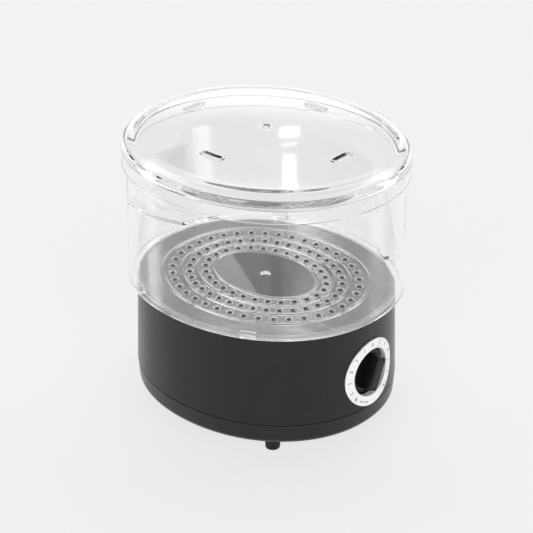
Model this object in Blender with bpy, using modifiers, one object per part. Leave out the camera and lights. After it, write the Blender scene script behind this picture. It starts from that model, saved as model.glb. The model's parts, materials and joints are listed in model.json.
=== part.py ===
"""Oval egg cooker: a black base with a heating plate and a timer, a clear steam cover and a clear lid.

Run it with blender --background --python part.py. Units are metres. +Z is up and z = 0 is the surface under
the feet. The dial faces -Y, the oval's long axis is Y, and the lid's two grip tabs point along -X and +X.
"""

import math

import bmesh
import bpy
import numpy as np
from mathutils import Matrix, Vector

MM = 0.001
GAP = 0.3 * MM

# The oval. A reach is an outline's half-length along Y, and HALF_WIDTHS gives its half-width along X.
OVAL_POWER = 2.08
REACHES = (8 * MM, 44.5 * MM, 55 * MM, 66 * MM, 80 * MM, 104 * MM, 124 * MM)
HALF_WIDTHS = (8 * MM, 31 * MM, 44.2 * MM, 55.2 * MM, 68.8 * MM, 92.7 * MM, 112.7 * MM)
OVAL_STEPS = 64
ROUND_STEPS = 24

# Heights above the surface the cooker stands on.
FOOT_TOP = 9.6 * MM
PAN_BOTTOM = 9.9 * MM
PAN_TOP = 24.8 * MM
SHELL_BOTTOM = PAN_TOP + GAP
DIAL_HEIGHT = 51.7 * MM
PLATE_TOP = 96.7 * MM
COVER_BOTTOM = PLATE_TOP + GAP
SKIRT_BOTTOM = 186.9 * MM
COVER_TOP = 196.4 * MM
LID_SHOULDER_TOP = 207.2 * MM
LID_CENTRE_TOP = 213.7 * MM

# Base shell and pan.
SHELL_WALL = 2.5 * MM
SHELL_REACH_TOP = 97.5 * MM
SHELL_REACH_BOTTOM = 99.8 * MM
LEDGE_REACH = 88 * MM
PAN_REACH_TOP = 99.6 * MM
PAN_REACH_BOTTOM = 98.2 * MM
PAN_FLOOR = 2.2 * MM
FOOT_X = 59.5 * MM
# The front feet, at -Y, stand further from the middle than the back ones.
FOOT_Y = {-1: -57.5 * MM, 1: 50 * MM}
BOSS_X = 74 * MM
BOSS_Y = 32 * MM
BOSS_RADIUS = 4 * MM
BOSS_TOP = 45 * MM
BOSS_HOLE = 1.7 * MM
BOSS_HOLE_DEPTH = 16 * MM
BOSS_WEB_THICK = 3 * MM
BOSS_WEB_LENGTH = 8.2 * MM
BOSS_WEB_OFFSET = 4.2 * MM
PAN_VENT_SIZE = (30 * MM, 3 * MM, 10 * MM)
PAN_VENT_PITCH = 9 * MM

# Screws that hold the pan to the shell, driven from below.
SCREW_RADIUS = 1.4 * MM
SCREW_TIP = 38 * MM
SCREW_HEAD_RADIUS = 2.9 * MM
SCREW_HEAD_HEIGHT = 1.4 * MM

# Feet. The stem passes through a hole in the pan.
FOOT_RADIUS = 6.2 * MM
FOOT_STEM_RADIUS = 2.7 * MM
FOOT_BULB_RADIUS = 3.7 * MM
FOOT_BULB_HEIGHT = 3.5 * MM
FOOT_HOLE = 3.0 * MM

# Heating plate.
PLATE_THICK = 1.0 * MM
PLATE_RIM_DROP = 2.4 * MM
PLATE_RIM_THICK = 0.8 * MM
RIDGE_REACHES = (43.5 * MM, 54 * MM, 65 * MM, 79 * MM)
RIDGE_HALF = 2.0 * MM
RIDGE_TOP_HALF = 0.8 * MM
RIDGE_HEIGHT = 1.5 * MM
RIVET_HOLE = 2.3 * MM
RIVET_SHANK = 2.0 * MM
RIVET_HEAD_RADIUS = 4.0 * MM
RIVET_HEAD_HEIGHT = 1.3 * MM

# Heating element, a sheathed tube under the plate.
ELEMENT_RADIUS = 3.5 * MM
ELEMENT_REACH = 60 * MM
ELEMENT_Z = PLATE_TOP - PLATE_THICK - GAP - ELEMENT_RADIUS
ELEMENT_OPENING = math.radians(25)
ELEMENT_BEND = 7 * MM
ELEMENT_END_Z = 78 * MM
CLAMP_TOP = ELEMENT_Z - ELEMENT_RADIUS - GAP
CLAMP_LENGTH = 118 * MM
CLAMP_WIDTH = 14 * MM
CLAMP_THICK = 1.5 * MM
NUT_RADIUS = 3.9 * MM
NUT_HEIGHT = 2.6 * MM

# Switches under the plate and the terminal block on the pan.
UNDER_PLATE = PLATE_TOP - PLATE_THICK - GAP
THERMOSTAT_RADIUS = 9 * MM
THERMOSTAT_HEIGHT = 7 * MM
THERMOSTAT_Y = 27 * MM
BLADE_SIZE = (1 * MM, 5 * MM, 9 * MM)
BLADE_X = 5 * MM
BLADE_DROP = 10 * MM
FUSE_RADIUS = 2.2 * MM
FUSE_TIP_RADIUS = 1.2 * MM
FUSE_HALF_LENGTH = 9 * MM
FUSE_Y = -28 * MM
TERMINAL_SIZE = (30 * MM, 14 * MM, 13 * MM)
TERMINAL_Y = 69 * MM
TERMINAL_PITCH = 9 * MM
TERMINAL_HOLE = 2 * MM
LEAD_RADIUS = 1.1 * MM

# Dial, knob and timer, on an axis along Y.
CUP_RADIUS = 21 * MM
CUP_BACK = -88 * MM
CUP_FLOOR = 2 * MM
CUP_LENGTH = 22 * MM
CUP_SHAFT_HOLE = 4.2 * MM
DIAL_OPENING = 18.6 * MM
DIAL_CUTTER_LENGTH = 60 * MM
RING_OUTER = 25.8 * MM
RING_INNER = 18.2 * MM
RING_THICK = 1.0 * MM
KNOB_RADIUS = 17.6 * MM
KNOB_BACK = -92.6 * MM
KNOB_DISC_FRONT = -96.4 * MM
KNOB_FRONT = -106.6 * MM
KNOB_BAR_LENGTH = 29 * MM
KNOB_BORE_DEPTH = 5.5 * MM
KNOB_BAR_WIDTH = 9 * MM
KNOB_BAR_TILT = math.radians(25)
SHAFT_RADIUS = 2.7 * MM
SHAFT_HOLE = 3.3 * MM
SHAFT_BACK = -70 * MM
TIMER_SCREW_X = 11 * MM
TIMER_SCREW_HOLE = 1.6 * MM
TIMER_SCREW_RADIUS = 1.25 * MM
TIMER_SCREW_LENGTH = 5 * MM
TIMER_PLATE_SIZE = (44 * MM, 1.2 * MM, 40 * MM)
TIMER_BACK = -62 * MM
TIMER_WIDTH = 40 * MM
TIMER_TALL = 36 * MM
TIMER_POST_X = 16 * MM
TIMER_POST_Z = 14 * MM
TIMER_POST_RADIUS = 2 * MM
TIMER_POST_HEIGHT = 2.5 * MM

# Cable inlet at the back.
INLET_Z = 37 * MM
INLET_RADIUS = 5.3 * MM
GLAND_BORE = 3.2 * MM
GLAND_FLANGE_RADIUS = 7.6 * MM
GLAND_FLANGE_TOP = 2.5 * MM
GLAND_FLANGE_BOTTOM = 0.6 * MM
GLAND_LENGTH = 9 * MM

# Steam cover and lid, both clear.
CLEAR_WALL = 2.4 * MM
COVER_REACH_BOTTOM = 104.3 * MM
COVER_REACH_TOP = 102.6 * MM
COVER_LEDGE_REACH = 95.2 * MM
COVER_LEDGE_THICK = 1.4 * MM
LUG_TURNS = (30, 150, 210, 330)
LUG_SIZE = (12 * MM, 5.5 * MM, 3 * MM)
LID_REACH = 106.6 * MM
LID_SHOULDER = 10 * MM
VENT_LENGTH = 18 * MM
VENT_WIDTH = 3.8 * MM
VENT_Y = 68 * MM
VENT_X = 56 * MM
TAB_INNER_Y = 37 * MM
TAB_OUTER_Y = 24.5 * MM
TAB_CORNER_X = 113.5 * MM
TAB_TIP_X = 118 * MM
TAB_THICK = 3 * MM

AXIS_ALONG_Y = Matrix.Rotation(math.pi / 2, 4, "X")


def empty_scene():
    for obj in list(bpy.data.objects):
        bpy.data.objects.remove(obj, do_unlink=True)
    parts = bpy.data.collections.new("egg_cooker")
    cutters = bpy.data.collections.new("cutters")
    for collection in (parts, cutters):
        bpy.context.scene.collection.children.link(collection)
    cutters.hide_render = True
    return parts, cutters


PARTS, CUTTERS = empty_scene()


def material(name, colour, roughness, metallic=0.0, transmission=0.0):
    made = bpy.data.materials.new(name)
    made.use_nodes = True
    shader = made.node_tree.nodes["Principled BSDF"]
    shader.inputs["Base Color"].default_value = (*colour, 1.0)
    shader.inputs["Roughness"].default_value = roughness
    shader.inputs["Metallic"].default_value = metallic
    shader.inputs["Transmission Weight"].default_value = transmission
    return made


BLACK_PLASTIC = material("black_plastic", (0.022, 0.020, 0.018), 0.35)
KNOB_PLASTIC = material("knob_plastic", (0.015, 0.014, 0.013), 0.3)
WHITE_PLASTIC = material("white_plastic", (0.85, 0.85, 0.84), 0.4)
CLEAR_PLASTIC = material("clear_plastic", (0.97, 0.98, 0.98), 0.05, transmission=1.0)
PLATE_METAL = material("plate_metal", (0.55, 0.55, 0.56), 0.35, metallic=1.0)
BRIGHT_STEEL = material("bright_steel", (0.70, 0.70, 0.71), 0.25, metallic=1.0)
BRASS = material("brass", (0.72, 0.55, 0.25), 0.35, metallic=1.0)
RUBBER = material("rubber", (0.02, 0.02, 0.02), 0.8)
CERAMIC = material("ceramic", (0.75, 0.72, 0.66), 0.7)
LEAD_SLEEVE = material("lead_sleeve", (0.75, 0.74, 0.70), 0.7)


def finished(obj, look, collection=None):
    """Puts the object in its collection with its material and smooth round faces."""
    (collection or PARTS).objects.link(obj)
    obj.data.materials.clear()
    obj.data.materials.append(look)
    if collection is CUTTERS:
        obj.hide_render = True
        obj.display_type = "WIRE"
    obj.data.shade_smooth()
    obj.data.set_sharp_from_angle(angle=math.radians(35))
    return obj


def half_width(reach):
    return float(np.interp(reach, REACHES, HALF_WIDTHS))


def on_oval(reach, turn):
    """The point of the oval of this reach at this turn, counted from +X towards +Y."""
    across = math.cos(turn)
    along = math.sin(turn)
    spread = (abs(across) ** OVAL_POWER + abs(along) ** OVAL_POWER) ** (-1 / OVAL_POWER)
    width = half_width(reach) if reach > REACHES[0] else reach
    return Vector((width * spread * across, reach * spread * along))


def triangulate(mesh):
    """Splits the slightly twisted faces of an oval into flat ones, which a Boolean cuts cleanly."""
    work = bmesh.new()
    work.from_mesh(mesh)
    bmesh.ops.triangulate(work, faces=work.faces)
    work.to_mesh(mesh)
    work.free()


def turned(name, profile, look, steps=ROUND_STEPS, closed=False, oval=False, collection=None):
    """A profile of (radius, height) points turned about Z. With oval, each radius is read as a reach."""
    edges = [(i, i + 1) for i in range(len(profile) - 1)]
    if closed:
        edges.append((len(profile) - 1, 0))
    outline = bpy.data.meshes.new(name + "_profile")
    outline.from_pydata([(radius, 0, height) for radius, height in profile], edges, [])
    lathe = bpy.data.objects.new(name + "_lathe", outline)
    bpy.context.scene.collection.objects.link(lathe)
    screw = lathe.modifiers.new("turn", "SCREW")
    screw.steps = steps
    screw.render_steps = steps
    screw.use_merge_vertices = True
    screw.merge_threshold = 0.00001
    graph = bpy.context.evaluated_depsgraph_get()
    mesh = bpy.data.meshes.new_from_object(lathe.evaluated_get(graph))
    bpy.data.objects.remove(lathe, do_unlink=True)
    if oval:
        for vertex in mesh.vertices:
            flat = vertex.co.to_2d()
            if flat.length > MM:
                vertex.co.xy = on_oval(flat.length, math.atan2(flat.y, flat.x))
        triangulate(mesh)
    return finished(bpy.data.objects.new(name, mesh), look, collection)


def block(name, size, centre, look, bevel=0.0, turn=None, collection=None):
    """A box with its edges bevelled, turned by a matrix about its own centre."""
    cage = bmesh.new()
    bmesh.ops.create_cube(cage, size=1.0)
    bmesh.ops.scale(cage, vec=size, verts=cage.verts)
    mesh = bpy.data.meshes.new(name)
    cage.to_mesh(mesh)
    cage.free()
    obj = finished(bpy.data.objects.new(name, mesh), look, collection)
    obj.matrix_world = Matrix.Translation(centre) @ (turn or Matrix.Identity(4))
    if bevel:
        edge = obj.modifiers.new("edge", "BEVEL")
        edge.width = bevel
        edge.segments = 2
    return obj


def rod(name, radius, length, centre, look, along_y=False, steps=ROUND_STEPS, collection=None):
    """A plain cylinder along Z, or along Y."""
    half = length / 2
    profile = [(0, half), (radius, half), (radius, -half), (0, -half)]
    obj = turned(name, profile, look, steps, collection=collection)
    obj.matrix_world = Matrix.Translation(centre) @ (AXIS_ALONG_Y if along_y else Matrix.Identity(4))
    return obj


def combine(obj, other, operation):
    boolean = obj.modifiers.new(operation.lower(), "BOOLEAN")
    boolean.operation = operation
    boolean.solver = "EXACT"
    boolean.object = other


def hole(obj, name, radius, length, centre, along_y=False, steps=ROUND_STEPS):
    combine(obj, rod(name, radius, length, centre, BLACK_PLASTIC, along_y, steps, CUTTERS), "DIFFERENCE")


def tube(name, points, radius, look):
    """A wire or tube through the points, as a closed mesh."""
    path = bpy.data.curves.new(name + "_path", "CURVE")
    path.dimensions = "3D"
    path.bevel_depth = radius
    path.bevel_resolution = 2
    path.use_fill_caps = True
    spline = path.splines.new("POLY")
    spline.points.add(len(points) - 1)
    for slot, point in zip(spline.points, points):
        slot.co = (*point, 1.0)
    guide = bpy.data.objects.new(name + "_guide", path)
    bpy.context.scene.collection.objects.link(guide)
    graph = bpy.context.evaluated_depsgraph_get()
    mesh = bpy.data.meshes.new_from_object(guide.evaluated_get(graph))
    bpy.data.objects.remove(guide, do_unlink=True)
    weld = bmesh.new()
    weld.from_mesh(mesh)
    bmesh.ops.remove_doubles(weld, verts=weld.verts, dist=0.00001)
    weld.to_mesh(mesh)
    weld.free()
    return finished(bpy.data.objects.new(name, mesh), look)


def smooth_path(points, count):
    """Points spaced along one Bezier curve whose control points are given."""
    path = []
    for step in range(count):
        share = step / (count - 1)
        level = [Vector(point) for point in points]
        while len(level) > 1:
            level = [a.lerp(b, share) for a, b in zip(level, level[1:])]
        path.append(level[0])
    return path


def corners():
    return [(x, y) for x in (-1, 1) for y in (-1, 1)]


def shell_reach(height):
    """Outer reach of the base shell's wall, which widens a little towards the bottom."""
    share = (height - SHELL_BOTTOM) / (PLATE_TOP - PLATE_RIM_DROP - SHELL_BOTTOM)
    return SHELL_REACH_BOTTOM + share * (SHELL_REACH_TOP - SHELL_REACH_BOTTOM)


def knob_cup():
    """The cup moulded behind the dial opening, cut to end inside the shell's wall."""
    middle = (0, CUP_BACK - CUP_LENGTH / 2, DIAL_HEIGHT)
    cup = rod("knob_cup", CUP_RADIUS, CUP_LENGTH, middle, BLACK_PLASTIC, True, 40, CUTTERS)
    reach = SHELL_REACH_TOP - SHELL_WALL / 2
    top = DIAL_HEIGHT + 2 * CUP_RADIUS
    bottom = DIAL_HEIGHT - 2 * CUP_RADIUS
    inside = [(0, top), (reach, top), (reach, bottom), (0, bottom)]
    core = turned("shell_core", inside, BLACK_PLASTIC, OVAL_STEPS, oval=True, collection=CUTTERS)
    combine(cup, core, "INTERSECT")
    return cup


def screw_boss(x, y):
    """A boss for one of the pan's screws, with the web that ties it to the wall."""
    length = BOSS_TOP - SHELL_BOTTOM
    height = SHELL_BOTTOM + length / 2
    middle = (x * BOSS_X, y * BOSS_Y, height)
    boss = rod(f"boss_{x}_{y}", BOSS_RADIUS, length, middle, BLACK_PLASTIC, steps=16, collection=CUTTERS)
    web_centre = (x * (BOSS_X + BOSS_WEB_OFFSET), y * BOSS_Y, height)
    web_size = (BOSS_WEB_LENGTH, BOSS_WEB_THICK, length - BOSS_WEB_THICK)
    web = block(f"web_{x}_{y}", web_size, web_centre, BLACK_PLASTIC, collection=CUTTERS)
    combine(boss, web, "UNION")
    return boss


def base_shell():
    under_plate = PLATE_TOP - PLATE_THICK - GAP
    rim_step = PLATE_TOP - PLATE_RIM_DROP - GAP
    rebate = SHELL_REACH_TOP - PLATE_RIM_THICK - GAP
    inner_top = SHELL_REACH_TOP - SHELL_WALL
    inner_bottom = SHELL_REACH_BOTTOM - SHELL_WALL
    profile = [
        (LEDGE_REACH, under_plate),
        (rebate, under_plate),
        (rebate, rim_step),
        (SHELL_REACH_TOP - 0.5 * MM, rim_step),
        (SHELL_REACH_TOP, rim_step - 0.5 * MM),
        (SHELL_REACH_BOTTOM, SHELL_BOTTOM + 0.6 * MM),
        (SHELL_REACH_BOTTOM - 0.5 * MM, SHELL_BOTTOM),
        (inner_bottom, SHELL_BOTTOM),
        (inner_top, under_plate - SHELL_WALL),
        (LEDGE_REACH, under_plate - SHELL_WALL),
    ]
    shell = turned("base_shell", profile, BLACK_PLASTIC, OVAL_STEPS, closed=True, oval=True)
    combine(shell, knob_cup(), "UNION")
    for x, y in corners():
        combine(shell, screw_boss(x, y), "UNION")
        hole_centre = (x * BOSS_X, y * BOSS_Y, SHELL_BOTTOM)
        hole(shell, f"boss_hole_{x}_{y}", BOSS_HOLE, 2 * BOSS_HOLE_DEPTH, hole_centre, steps=12)
    recess_length = 30 * MM
    recess_centre = (0, CUP_BACK - CUP_FLOOR - recess_length / 2, DIAL_HEIGHT)
    hole(shell, "knob_recess", DIAL_OPENING, recess_length, recess_centre, True, 48)
    hole(shell, "cup_shaft_hole", CUP_SHAFT_HOLE, 20 * MM, (0, CUP_BACK, DIAL_HEIGHT), True, 16)
    for side in (-1, 1):
        screw_centre = (side * TIMER_SCREW_X, CUP_BACK, DIAL_HEIGHT)
        hole(shell, f"cup_screw_hole_{side}", TIMER_SCREW_HOLE, 10 * MM, screw_centre, True, 12)
    hole(shell, "inlet_hole", INLET_RADIUS + GAP, 20 * MM, (0, shell_reach(INLET_Z), INLET_Z), True)
    return shell


def base_bottom():
    floor_top = PAN_BOTTOM + PAN_FLOOR
    inner = PAN_REACH_TOP - SHELL_WALL
    profile = [
        (0, floor_top),
        (inner - 5 * MM, floor_top),
        (inner - 2 * MM, floor_top + 2 * MM),
        (inner, PAN_TOP),
        (PAN_REACH_TOP - 0.5 * MM, PAN_TOP),
        (PAN_REACH_TOP, PAN_TOP - 0.5 * MM),
        (PAN_REACH_BOTTOM + 0.4 * MM, PAN_BOTTOM + 1.6 * MM),
        (PAN_REACH_BOTTOM - MM, PAN_BOTTOM),
        (0, PAN_BOTTOM),
    ]
    pan = turned("base_bottom", profile, BLACK_PLASTIC, OVAL_STEPS, oval=True)
    pillar_bottom = PAN_BOTTOM + PAN_FLOOR / 2
    pillar_length = PAN_TOP - pillar_bottom
    for x, y in corners():
        middle = (x * BOSS_X, y * BOSS_Y, pillar_bottom + pillar_length / 2)
        name = f"pillar_{x}_{y}"
        pillar = rod(name, BOSS_RADIUS, pillar_length, middle, BLACK_PLASTIC, steps=16, collection=CUTTERS)
        combine(pan, pillar, "UNION")
        foot_centre = (x * FOOT_X, FOOT_Y[y], PAN_BOTTOM)
        hole(pan, f"foot_hole_{x}_{y}", FOOT_HOLE, 10 * MM, foot_centre, steps=16)
        screw_centre = (x * BOSS_X, y * BOSS_Y, PAN_BOTTOM)
        hole(pan, f"pan_screw_hole_{x}_{y}", BOSS_HOLE, 40 * MM, screw_centre, steps=12)
    for row in (-1, 0, 1):
        centre = (0, row * PAN_VENT_PITCH, PAN_BOTTOM)
        slot = block(f"pan_vent_{row}", PAN_VENT_SIZE, centre, BLACK_PLASTIC, collection=CUTTERS)
        combine(pan, slot, "DIFFERENCE")
    return pan


def foot(index, x, y):
    """A rubber foot whose stem is pulled through the pan and held by its own bulb."""
    stem_top = PAN_BOTTOM + PAN_FLOOR + GAP
    profile = [
        (0, stem_top + FOOT_BULB_HEIGHT),
        (FOOT_BULB_RADIUS / 2, stem_top + FOOT_BULB_HEIGHT),
        (FOOT_BULB_RADIUS, stem_top),
        (FOOT_STEM_RADIUS, stem_top),
        (FOOT_STEM_RADIUS, FOOT_TOP),
        (FOOT_RADIUS, FOOT_TOP),
        (FOOT_RADIUS - 0.8 * MM, 1.0 * MM),
        (FOOT_RADIUS - 1.6 * MM, 0),
        (0, 0),
    ]
    piece = turned(f"foot_{index}", profile, RUBBER, 20)
    piece.location = (x * FOOT_X, FOOT_Y[y], 0)


def base_screw(index, x, y):
    head_top = PAN_BOTTOM - GAP
    profile = [
        (0, SCREW_TIP + MM),
        (SCREW_RADIUS, SCREW_TIP),
        (SCREW_RADIUS, head_top),
        (SCREW_HEAD_RADIUS, head_top),
        (SCREW_HEAD_RADIUS - 0.4 * MM, head_top - 0.8 * SCREW_HEAD_HEIGHT),
        (0, head_top - SCREW_HEAD_HEIGHT),
    ]
    piece = turned(f"base_screw_{index}", profile, BRIGHT_STEEL, 12)
    piece.location = (x * BOSS_X, y * BOSS_Y, 0)


def heating_plate():
    top = PLATE_TOP
    under = PLATE_TOP - PLATE_THICK
    profile = [(RIVET_HOLE, top)]
    for reach in RIDGE_REACHES:
        profile += [
            (reach - RIDGE_HALF, top),
            (reach - RIDGE_TOP_HALF, top + RIDGE_HEIGHT),
            (reach + RIDGE_TOP_HALF, top + RIDGE_HEIGHT),
            (reach + RIDGE_HALF, top),
        ]
    profile += [
        (SHELL_REACH_TOP - 0.8 * MM, top),
        (SHELL_REACH_TOP, top - 0.7 * MM),
        (SHELL_REACH_TOP, top - PLATE_RIM_DROP),
        (SHELL_REACH_TOP - PLATE_RIM_THICK, top - PLATE_RIM_DROP),
        (SHELL_REACH_TOP - PLATE_RIM_THICK, under),
        (RIVET_HOLE, under),
    ]
    return turned("heating_plate", profile, PLATE_METAL, OVAL_STEPS, closed=True, oval=True)


def plate_rivet():
    head = PLATE_TOP + GAP
    profile = [
        (0, head + RIVET_HEAD_HEIGHT),
        (0.6 * RIVET_HEAD_RADIUS, head + 0.8 * RIVET_HEAD_HEIGHT),
        (RIVET_HEAD_RADIUS, head),
        (RIVET_SHANK, head),
        (RIVET_SHANK, CLAMP_TOP - 5 * MM),
        (0, CLAMP_TOP - 5 * MM),
    ]
    return turned("plate_rivet", profile, BRIGHT_STEEL, 20)


def heating_element():
    """One open oval turn of tube, whose two ends bend down at the back."""
    start = math.pi / 2 + ELEMENT_OPENING
    span = 2 * math.pi - 2 * ELEMENT_OPENING
    turns = [start + span * step / 40 for step in range(41)]
    ring = [on_oval(ELEMENT_REACH, turn).to_3d() + Vector((0, 0, ELEMENT_Z)) for turn in turns]
    ends = []
    for last, before in ((ring[0], ring[1]), (ring[-1], ring[-2])):
        heading = (last - before).normalized()
        bend = []
        for step in (1, 2, 3):
            angle = math.pi / 2 * step / 3
            drop = Vector((0, 0, ELEMENT_BEND * (1 - math.cos(angle))))
            bend.append(last + heading * ELEMENT_BEND * math.sin(angle) - drop)
        bend.append(Vector((bend[-1].x, bend[-1].y, ELEMENT_END_Z)))
        ends.append(bend)
    return tube("heating_element", ends[0][::-1] + ring + ends[1], ELEMENT_RADIUS, BRIGHT_STEEL)


def element_clamp():
    size = (CLAMP_LENGTH, CLAMP_WIDTH, CLAMP_THICK)
    clamp = block("element_clamp", size, (0, 0, CLAMP_TOP - CLAMP_THICK / 2), BRIGHT_STEEL)
    hole(clamp, "clamp_hole", RIVET_HOLE, 10 * MM, (0, 0, CLAMP_TOP), steps=16)
    return clamp


def clamp_nut():
    top = CLAMP_TOP - CLAMP_THICK - GAP
    bottom = top - NUT_HEIGHT
    profile = [(RIVET_HOLE, top), (NUT_RADIUS, top), (NUT_RADIUS, bottom), (RIVET_HOLE, bottom)]
    return turned("clamp_nut", profile, BRIGHT_STEEL, 6, closed=True)


def thermostat():
    """A bimetal switch under the plate, with two blade terminals."""
    centre = (0, THERMOSTAT_Y, UNDER_PLATE - THERMOSTAT_HEIGHT / 2)
    body = rod("thermostat", THERMOSTAT_RADIUS, THERMOSTAT_HEIGHT, centre, CERAMIC)
    for side in (-1, 1):
        blade_centre = (side * BLADE_X, THERMOSTAT_Y, UNDER_PLATE - BLADE_DROP)
        blade = block(f"blade_{side}", BLADE_SIZE, blade_centre, BRASS, collection=CUTTERS)
        combine(body, blade, "UNION")
    return body


def thermal_fuse():
    """A small capsule with narrow ends, whose axis lies along X."""
    outline = ((0, 1.0), (FUSE_TIP_RADIUS, 0.96), (FUSE_RADIUS, 0.82))
    profile = [(radius, share * FUSE_HALF_LENGTH) for radius, share in outline]
    profile += [(radius, -share * FUSE_HALF_LENGTH) for radius, share in reversed(outline)]
    fuse = turned("thermal_fuse", profile, BRASS, 16)
    centre = (0, FUSE_Y, UNDER_PLATE - FUSE_RADIUS)
    fuse.matrix_world = Matrix.Translation(centre) @ Matrix.Rotation(math.pi / 2, 4, "Y")
    return fuse


def terminal_block():
    centre = (0, TERMINAL_Y, PAN_BOTTOM + PAN_FLOOR + GAP + TERMINAL_SIZE[2] / 2)
    body = block("terminal_block", TERMINAL_SIZE, centre, CERAMIC, bevel=MM)
    for place in (-1, 0, 1):
        hole_centre = (place * TERMINAL_PITCH, TERMINAL_Y, centre[2])
        hole(body, f"terminal_hole_{place}", TERMINAL_HOLE, 40 * MM, hole_centre, True, 12)
    return body


def cable_gland():
    """The bushing that a mains cable would enter through, open from end to end."""
    profile = [
        (GLAND_BORE, GLAND_FLANGE_TOP),
        (GLAND_FLANGE_RADIUS - MM, GLAND_FLANGE_TOP),
        (GLAND_FLANGE_RADIUS, GLAND_FLANGE_TOP - MM),
        (GLAND_FLANGE_RADIUS, GLAND_FLANGE_BOTTOM),
        (INLET_RADIUS, GLAND_FLANGE_BOTTOM),
        (INLET_RADIUS, -GLAND_LENGTH),
        (GLAND_BORE, -GLAND_LENGTH),
    ]
    gland = turned("cable_gland", profile, RUBBER, 24, closed=True)
    place = Matrix.Translation((0, shell_reach(INLET_Z), INLET_Z))
    gland.matrix_world = place @ Matrix.Rotation(-math.pi / 2, 4, "X")
    return gland


def dial_ring():
    """A thin white ring that follows the curve of the wall round the knob."""
    low = DIAL_HEIGHT - RING_OUTER - MM
    high = DIAL_HEIGHT + RING_OUTER + MM
    profile = [
        (shell_reach(high) + GAP, high),
        (shell_reach(high) + GAP + RING_THICK, high),
        (shell_reach(low) + GAP + RING_THICK, low),
        (shell_reach(low) + GAP, low),
    ]
    ring = turned("dial_ring", profile, WHITE_PLASTIC, OVAL_STEPS * 2, closed=True, oval=True)
    front = (0, -95 * MM, DIAL_HEIGHT)
    outline = rod("ring_outline", RING_OUTER, DIAL_CUTTER_LENGTH, front, WHITE_PLASTIC, True, 64, CUTTERS)
    combine(ring, outline, "INTERSECT")
    hole(ring, "ring_opening", RING_INNER, DIAL_CUTTER_LENGTH, front, True, 64)
    return ring


def knob():
    """A disc that sits in the recess, with a grip bar across it. Its origin is on the shaft's axis."""
    thick = KNOB_BACK - KNOB_DISC_FRONT
    profile = [
        (0, thick),
        (KNOB_RADIUS - 1.5 * MM, thick),
        (KNOB_RADIUS, thick - 1.2 * MM),
        (KNOB_RADIUS, 0),
        (0, 0),
    ]
    disc = turned("knob", profile, KNOB_PLASTIC, 48)
    disc.matrix_world = Matrix.Translation((0, KNOB_BACK, DIAL_HEIGHT)) @ AXIS_ALONG_Y
    height = KNOB_BACK - KNOB_FRONT - MM
    bar_centre = (0, KNOB_BACK - MM - height / 2, DIAL_HEIGHT)
    tilt = Matrix.Rotation(KNOB_BAR_TILT, 4, "Y")
    bar_size = (KNOB_BAR_WIDTH, height, KNOB_BAR_LENGTH)
    bar = block("grip_bar", bar_size, bar_centre, KNOB_PLASTIC, 1.2 * MM, tilt, CUTTERS)
    combine(disc, bar, "UNION")
    hole(disc, "knob_bore", SHAFT_RADIUS + GAP, 2 * KNOB_BORE_DEPTH, (0, KNOB_BACK, DIAL_HEIGHT), True, 20)
    return disc


def timer_shaft():
    front = KNOB_BACK - 5 * MM
    middle = (0, (front + SHAFT_BACK) / 2, DIAL_HEIGHT)
    return rod("timer_shaft", SHAFT_RADIUS, SHAFT_BACK - front, middle, BRIGHT_STEEL, True, 20)


def timer_plate():
    centre = (0, CUP_BACK + GAP + TIMER_PLATE_SIZE[1] / 2, DIAL_HEIGHT)
    plate = block("timer_plate", TIMER_PLATE_SIZE, centre, BRIGHT_STEEL)
    hole(plate, "plate_shaft_hole", SHAFT_HOLE, 10 * MM, centre, True, 16)
    for side in (-1, 1):
        place = (side * TIMER_SCREW_X, centre[1], DIAL_HEIGHT)
        hole(plate, f"plate_screw_hole_{side}", TIMER_SCREW_HOLE, 10 * MM, place, True, 12)
    return plate


def timer_housing():
    """The closed clockwork box, kept off its mounting plate by four posts."""
    plate_back = CUP_BACK + GAP + TIMER_PLATE_SIZE[1]
    front = plate_back + GAP + TIMER_POST_HEIGHT
    size = (TIMER_WIDTH, TIMER_BACK - front, TIMER_TALL)
    centre = (0, (front + TIMER_BACK) / 2, DIAL_HEIGHT)
    housing = block("timer_housing", size, centre, WHITE_PLASTIC, bevel=1.5 * MM)
    hole(housing, "housing_shaft_hole", SHAFT_HOLE, 40 * MM, (0, CUP_BACK, DIAL_HEIGHT), True, 16)
    post_length = TIMER_POST_HEIGHT + 0.1 * MM
    for x, z in corners():
        post_centre = (x * TIMER_POST_X, front - MM, DIAL_HEIGHT + z * TIMER_POST_Z)
        name = f"housing_post_{x}_{z}"
        post = rod(name, TIMER_POST_RADIUS, post_length, post_centre, WHITE_PLASTIC, True, 12, CUTTERS)
        combine(housing, post, "UNION")
    return housing


def timer_screw(index, side):
    """Its axis lies along Y, with the head in the cup behind the knob."""
    head = CUP_BACK - CUP_FLOOR - GAP
    profile = [
        (0, 1.4 * MM),
        (2.0 * MM, 1.4 * MM),
        (2.6 * MM, 0.6 * MM),
        (2.6 * MM, 0),
        (TIMER_SCREW_RADIUS, 0),
        (TIMER_SCREW_RADIUS, -TIMER_SCREW_LENGTH),
        (0, -TIMER_SCREW_LENGTH),
    ]
    screw = turned(f"timer_screw_{index}", profile, BRIGHT_STEEL, 12)
    screw.matrix_world = Matrix.Translation((side * TIMER_SCREW_X, head, DIAL_HEIGHT)) @ AXIS_ALONG_Y


def timer_bell():
    """A gong on a stud behind the timer, turned about Y."""
    profile = [
        (0, 0),
        (2 * MM, 0),
        (2 * MM, -6 * MM),
        (12 * MM, -4 * MM),
        (15 * MM, -1 * MM),
        (16 * MM, -1 * MM),
        (12.6 * MM, -5 * MM),
        (0, -7.5 * MM),
    ]
    bell = turned("timer_bell", profile, BRASS, 28)
    bell.matrix_world = Matrix.Translation((0, TIMER_BACK + GAP, DIAL_HEIGHT)) @ AXIS_ALONG_Y
    return bell


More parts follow.
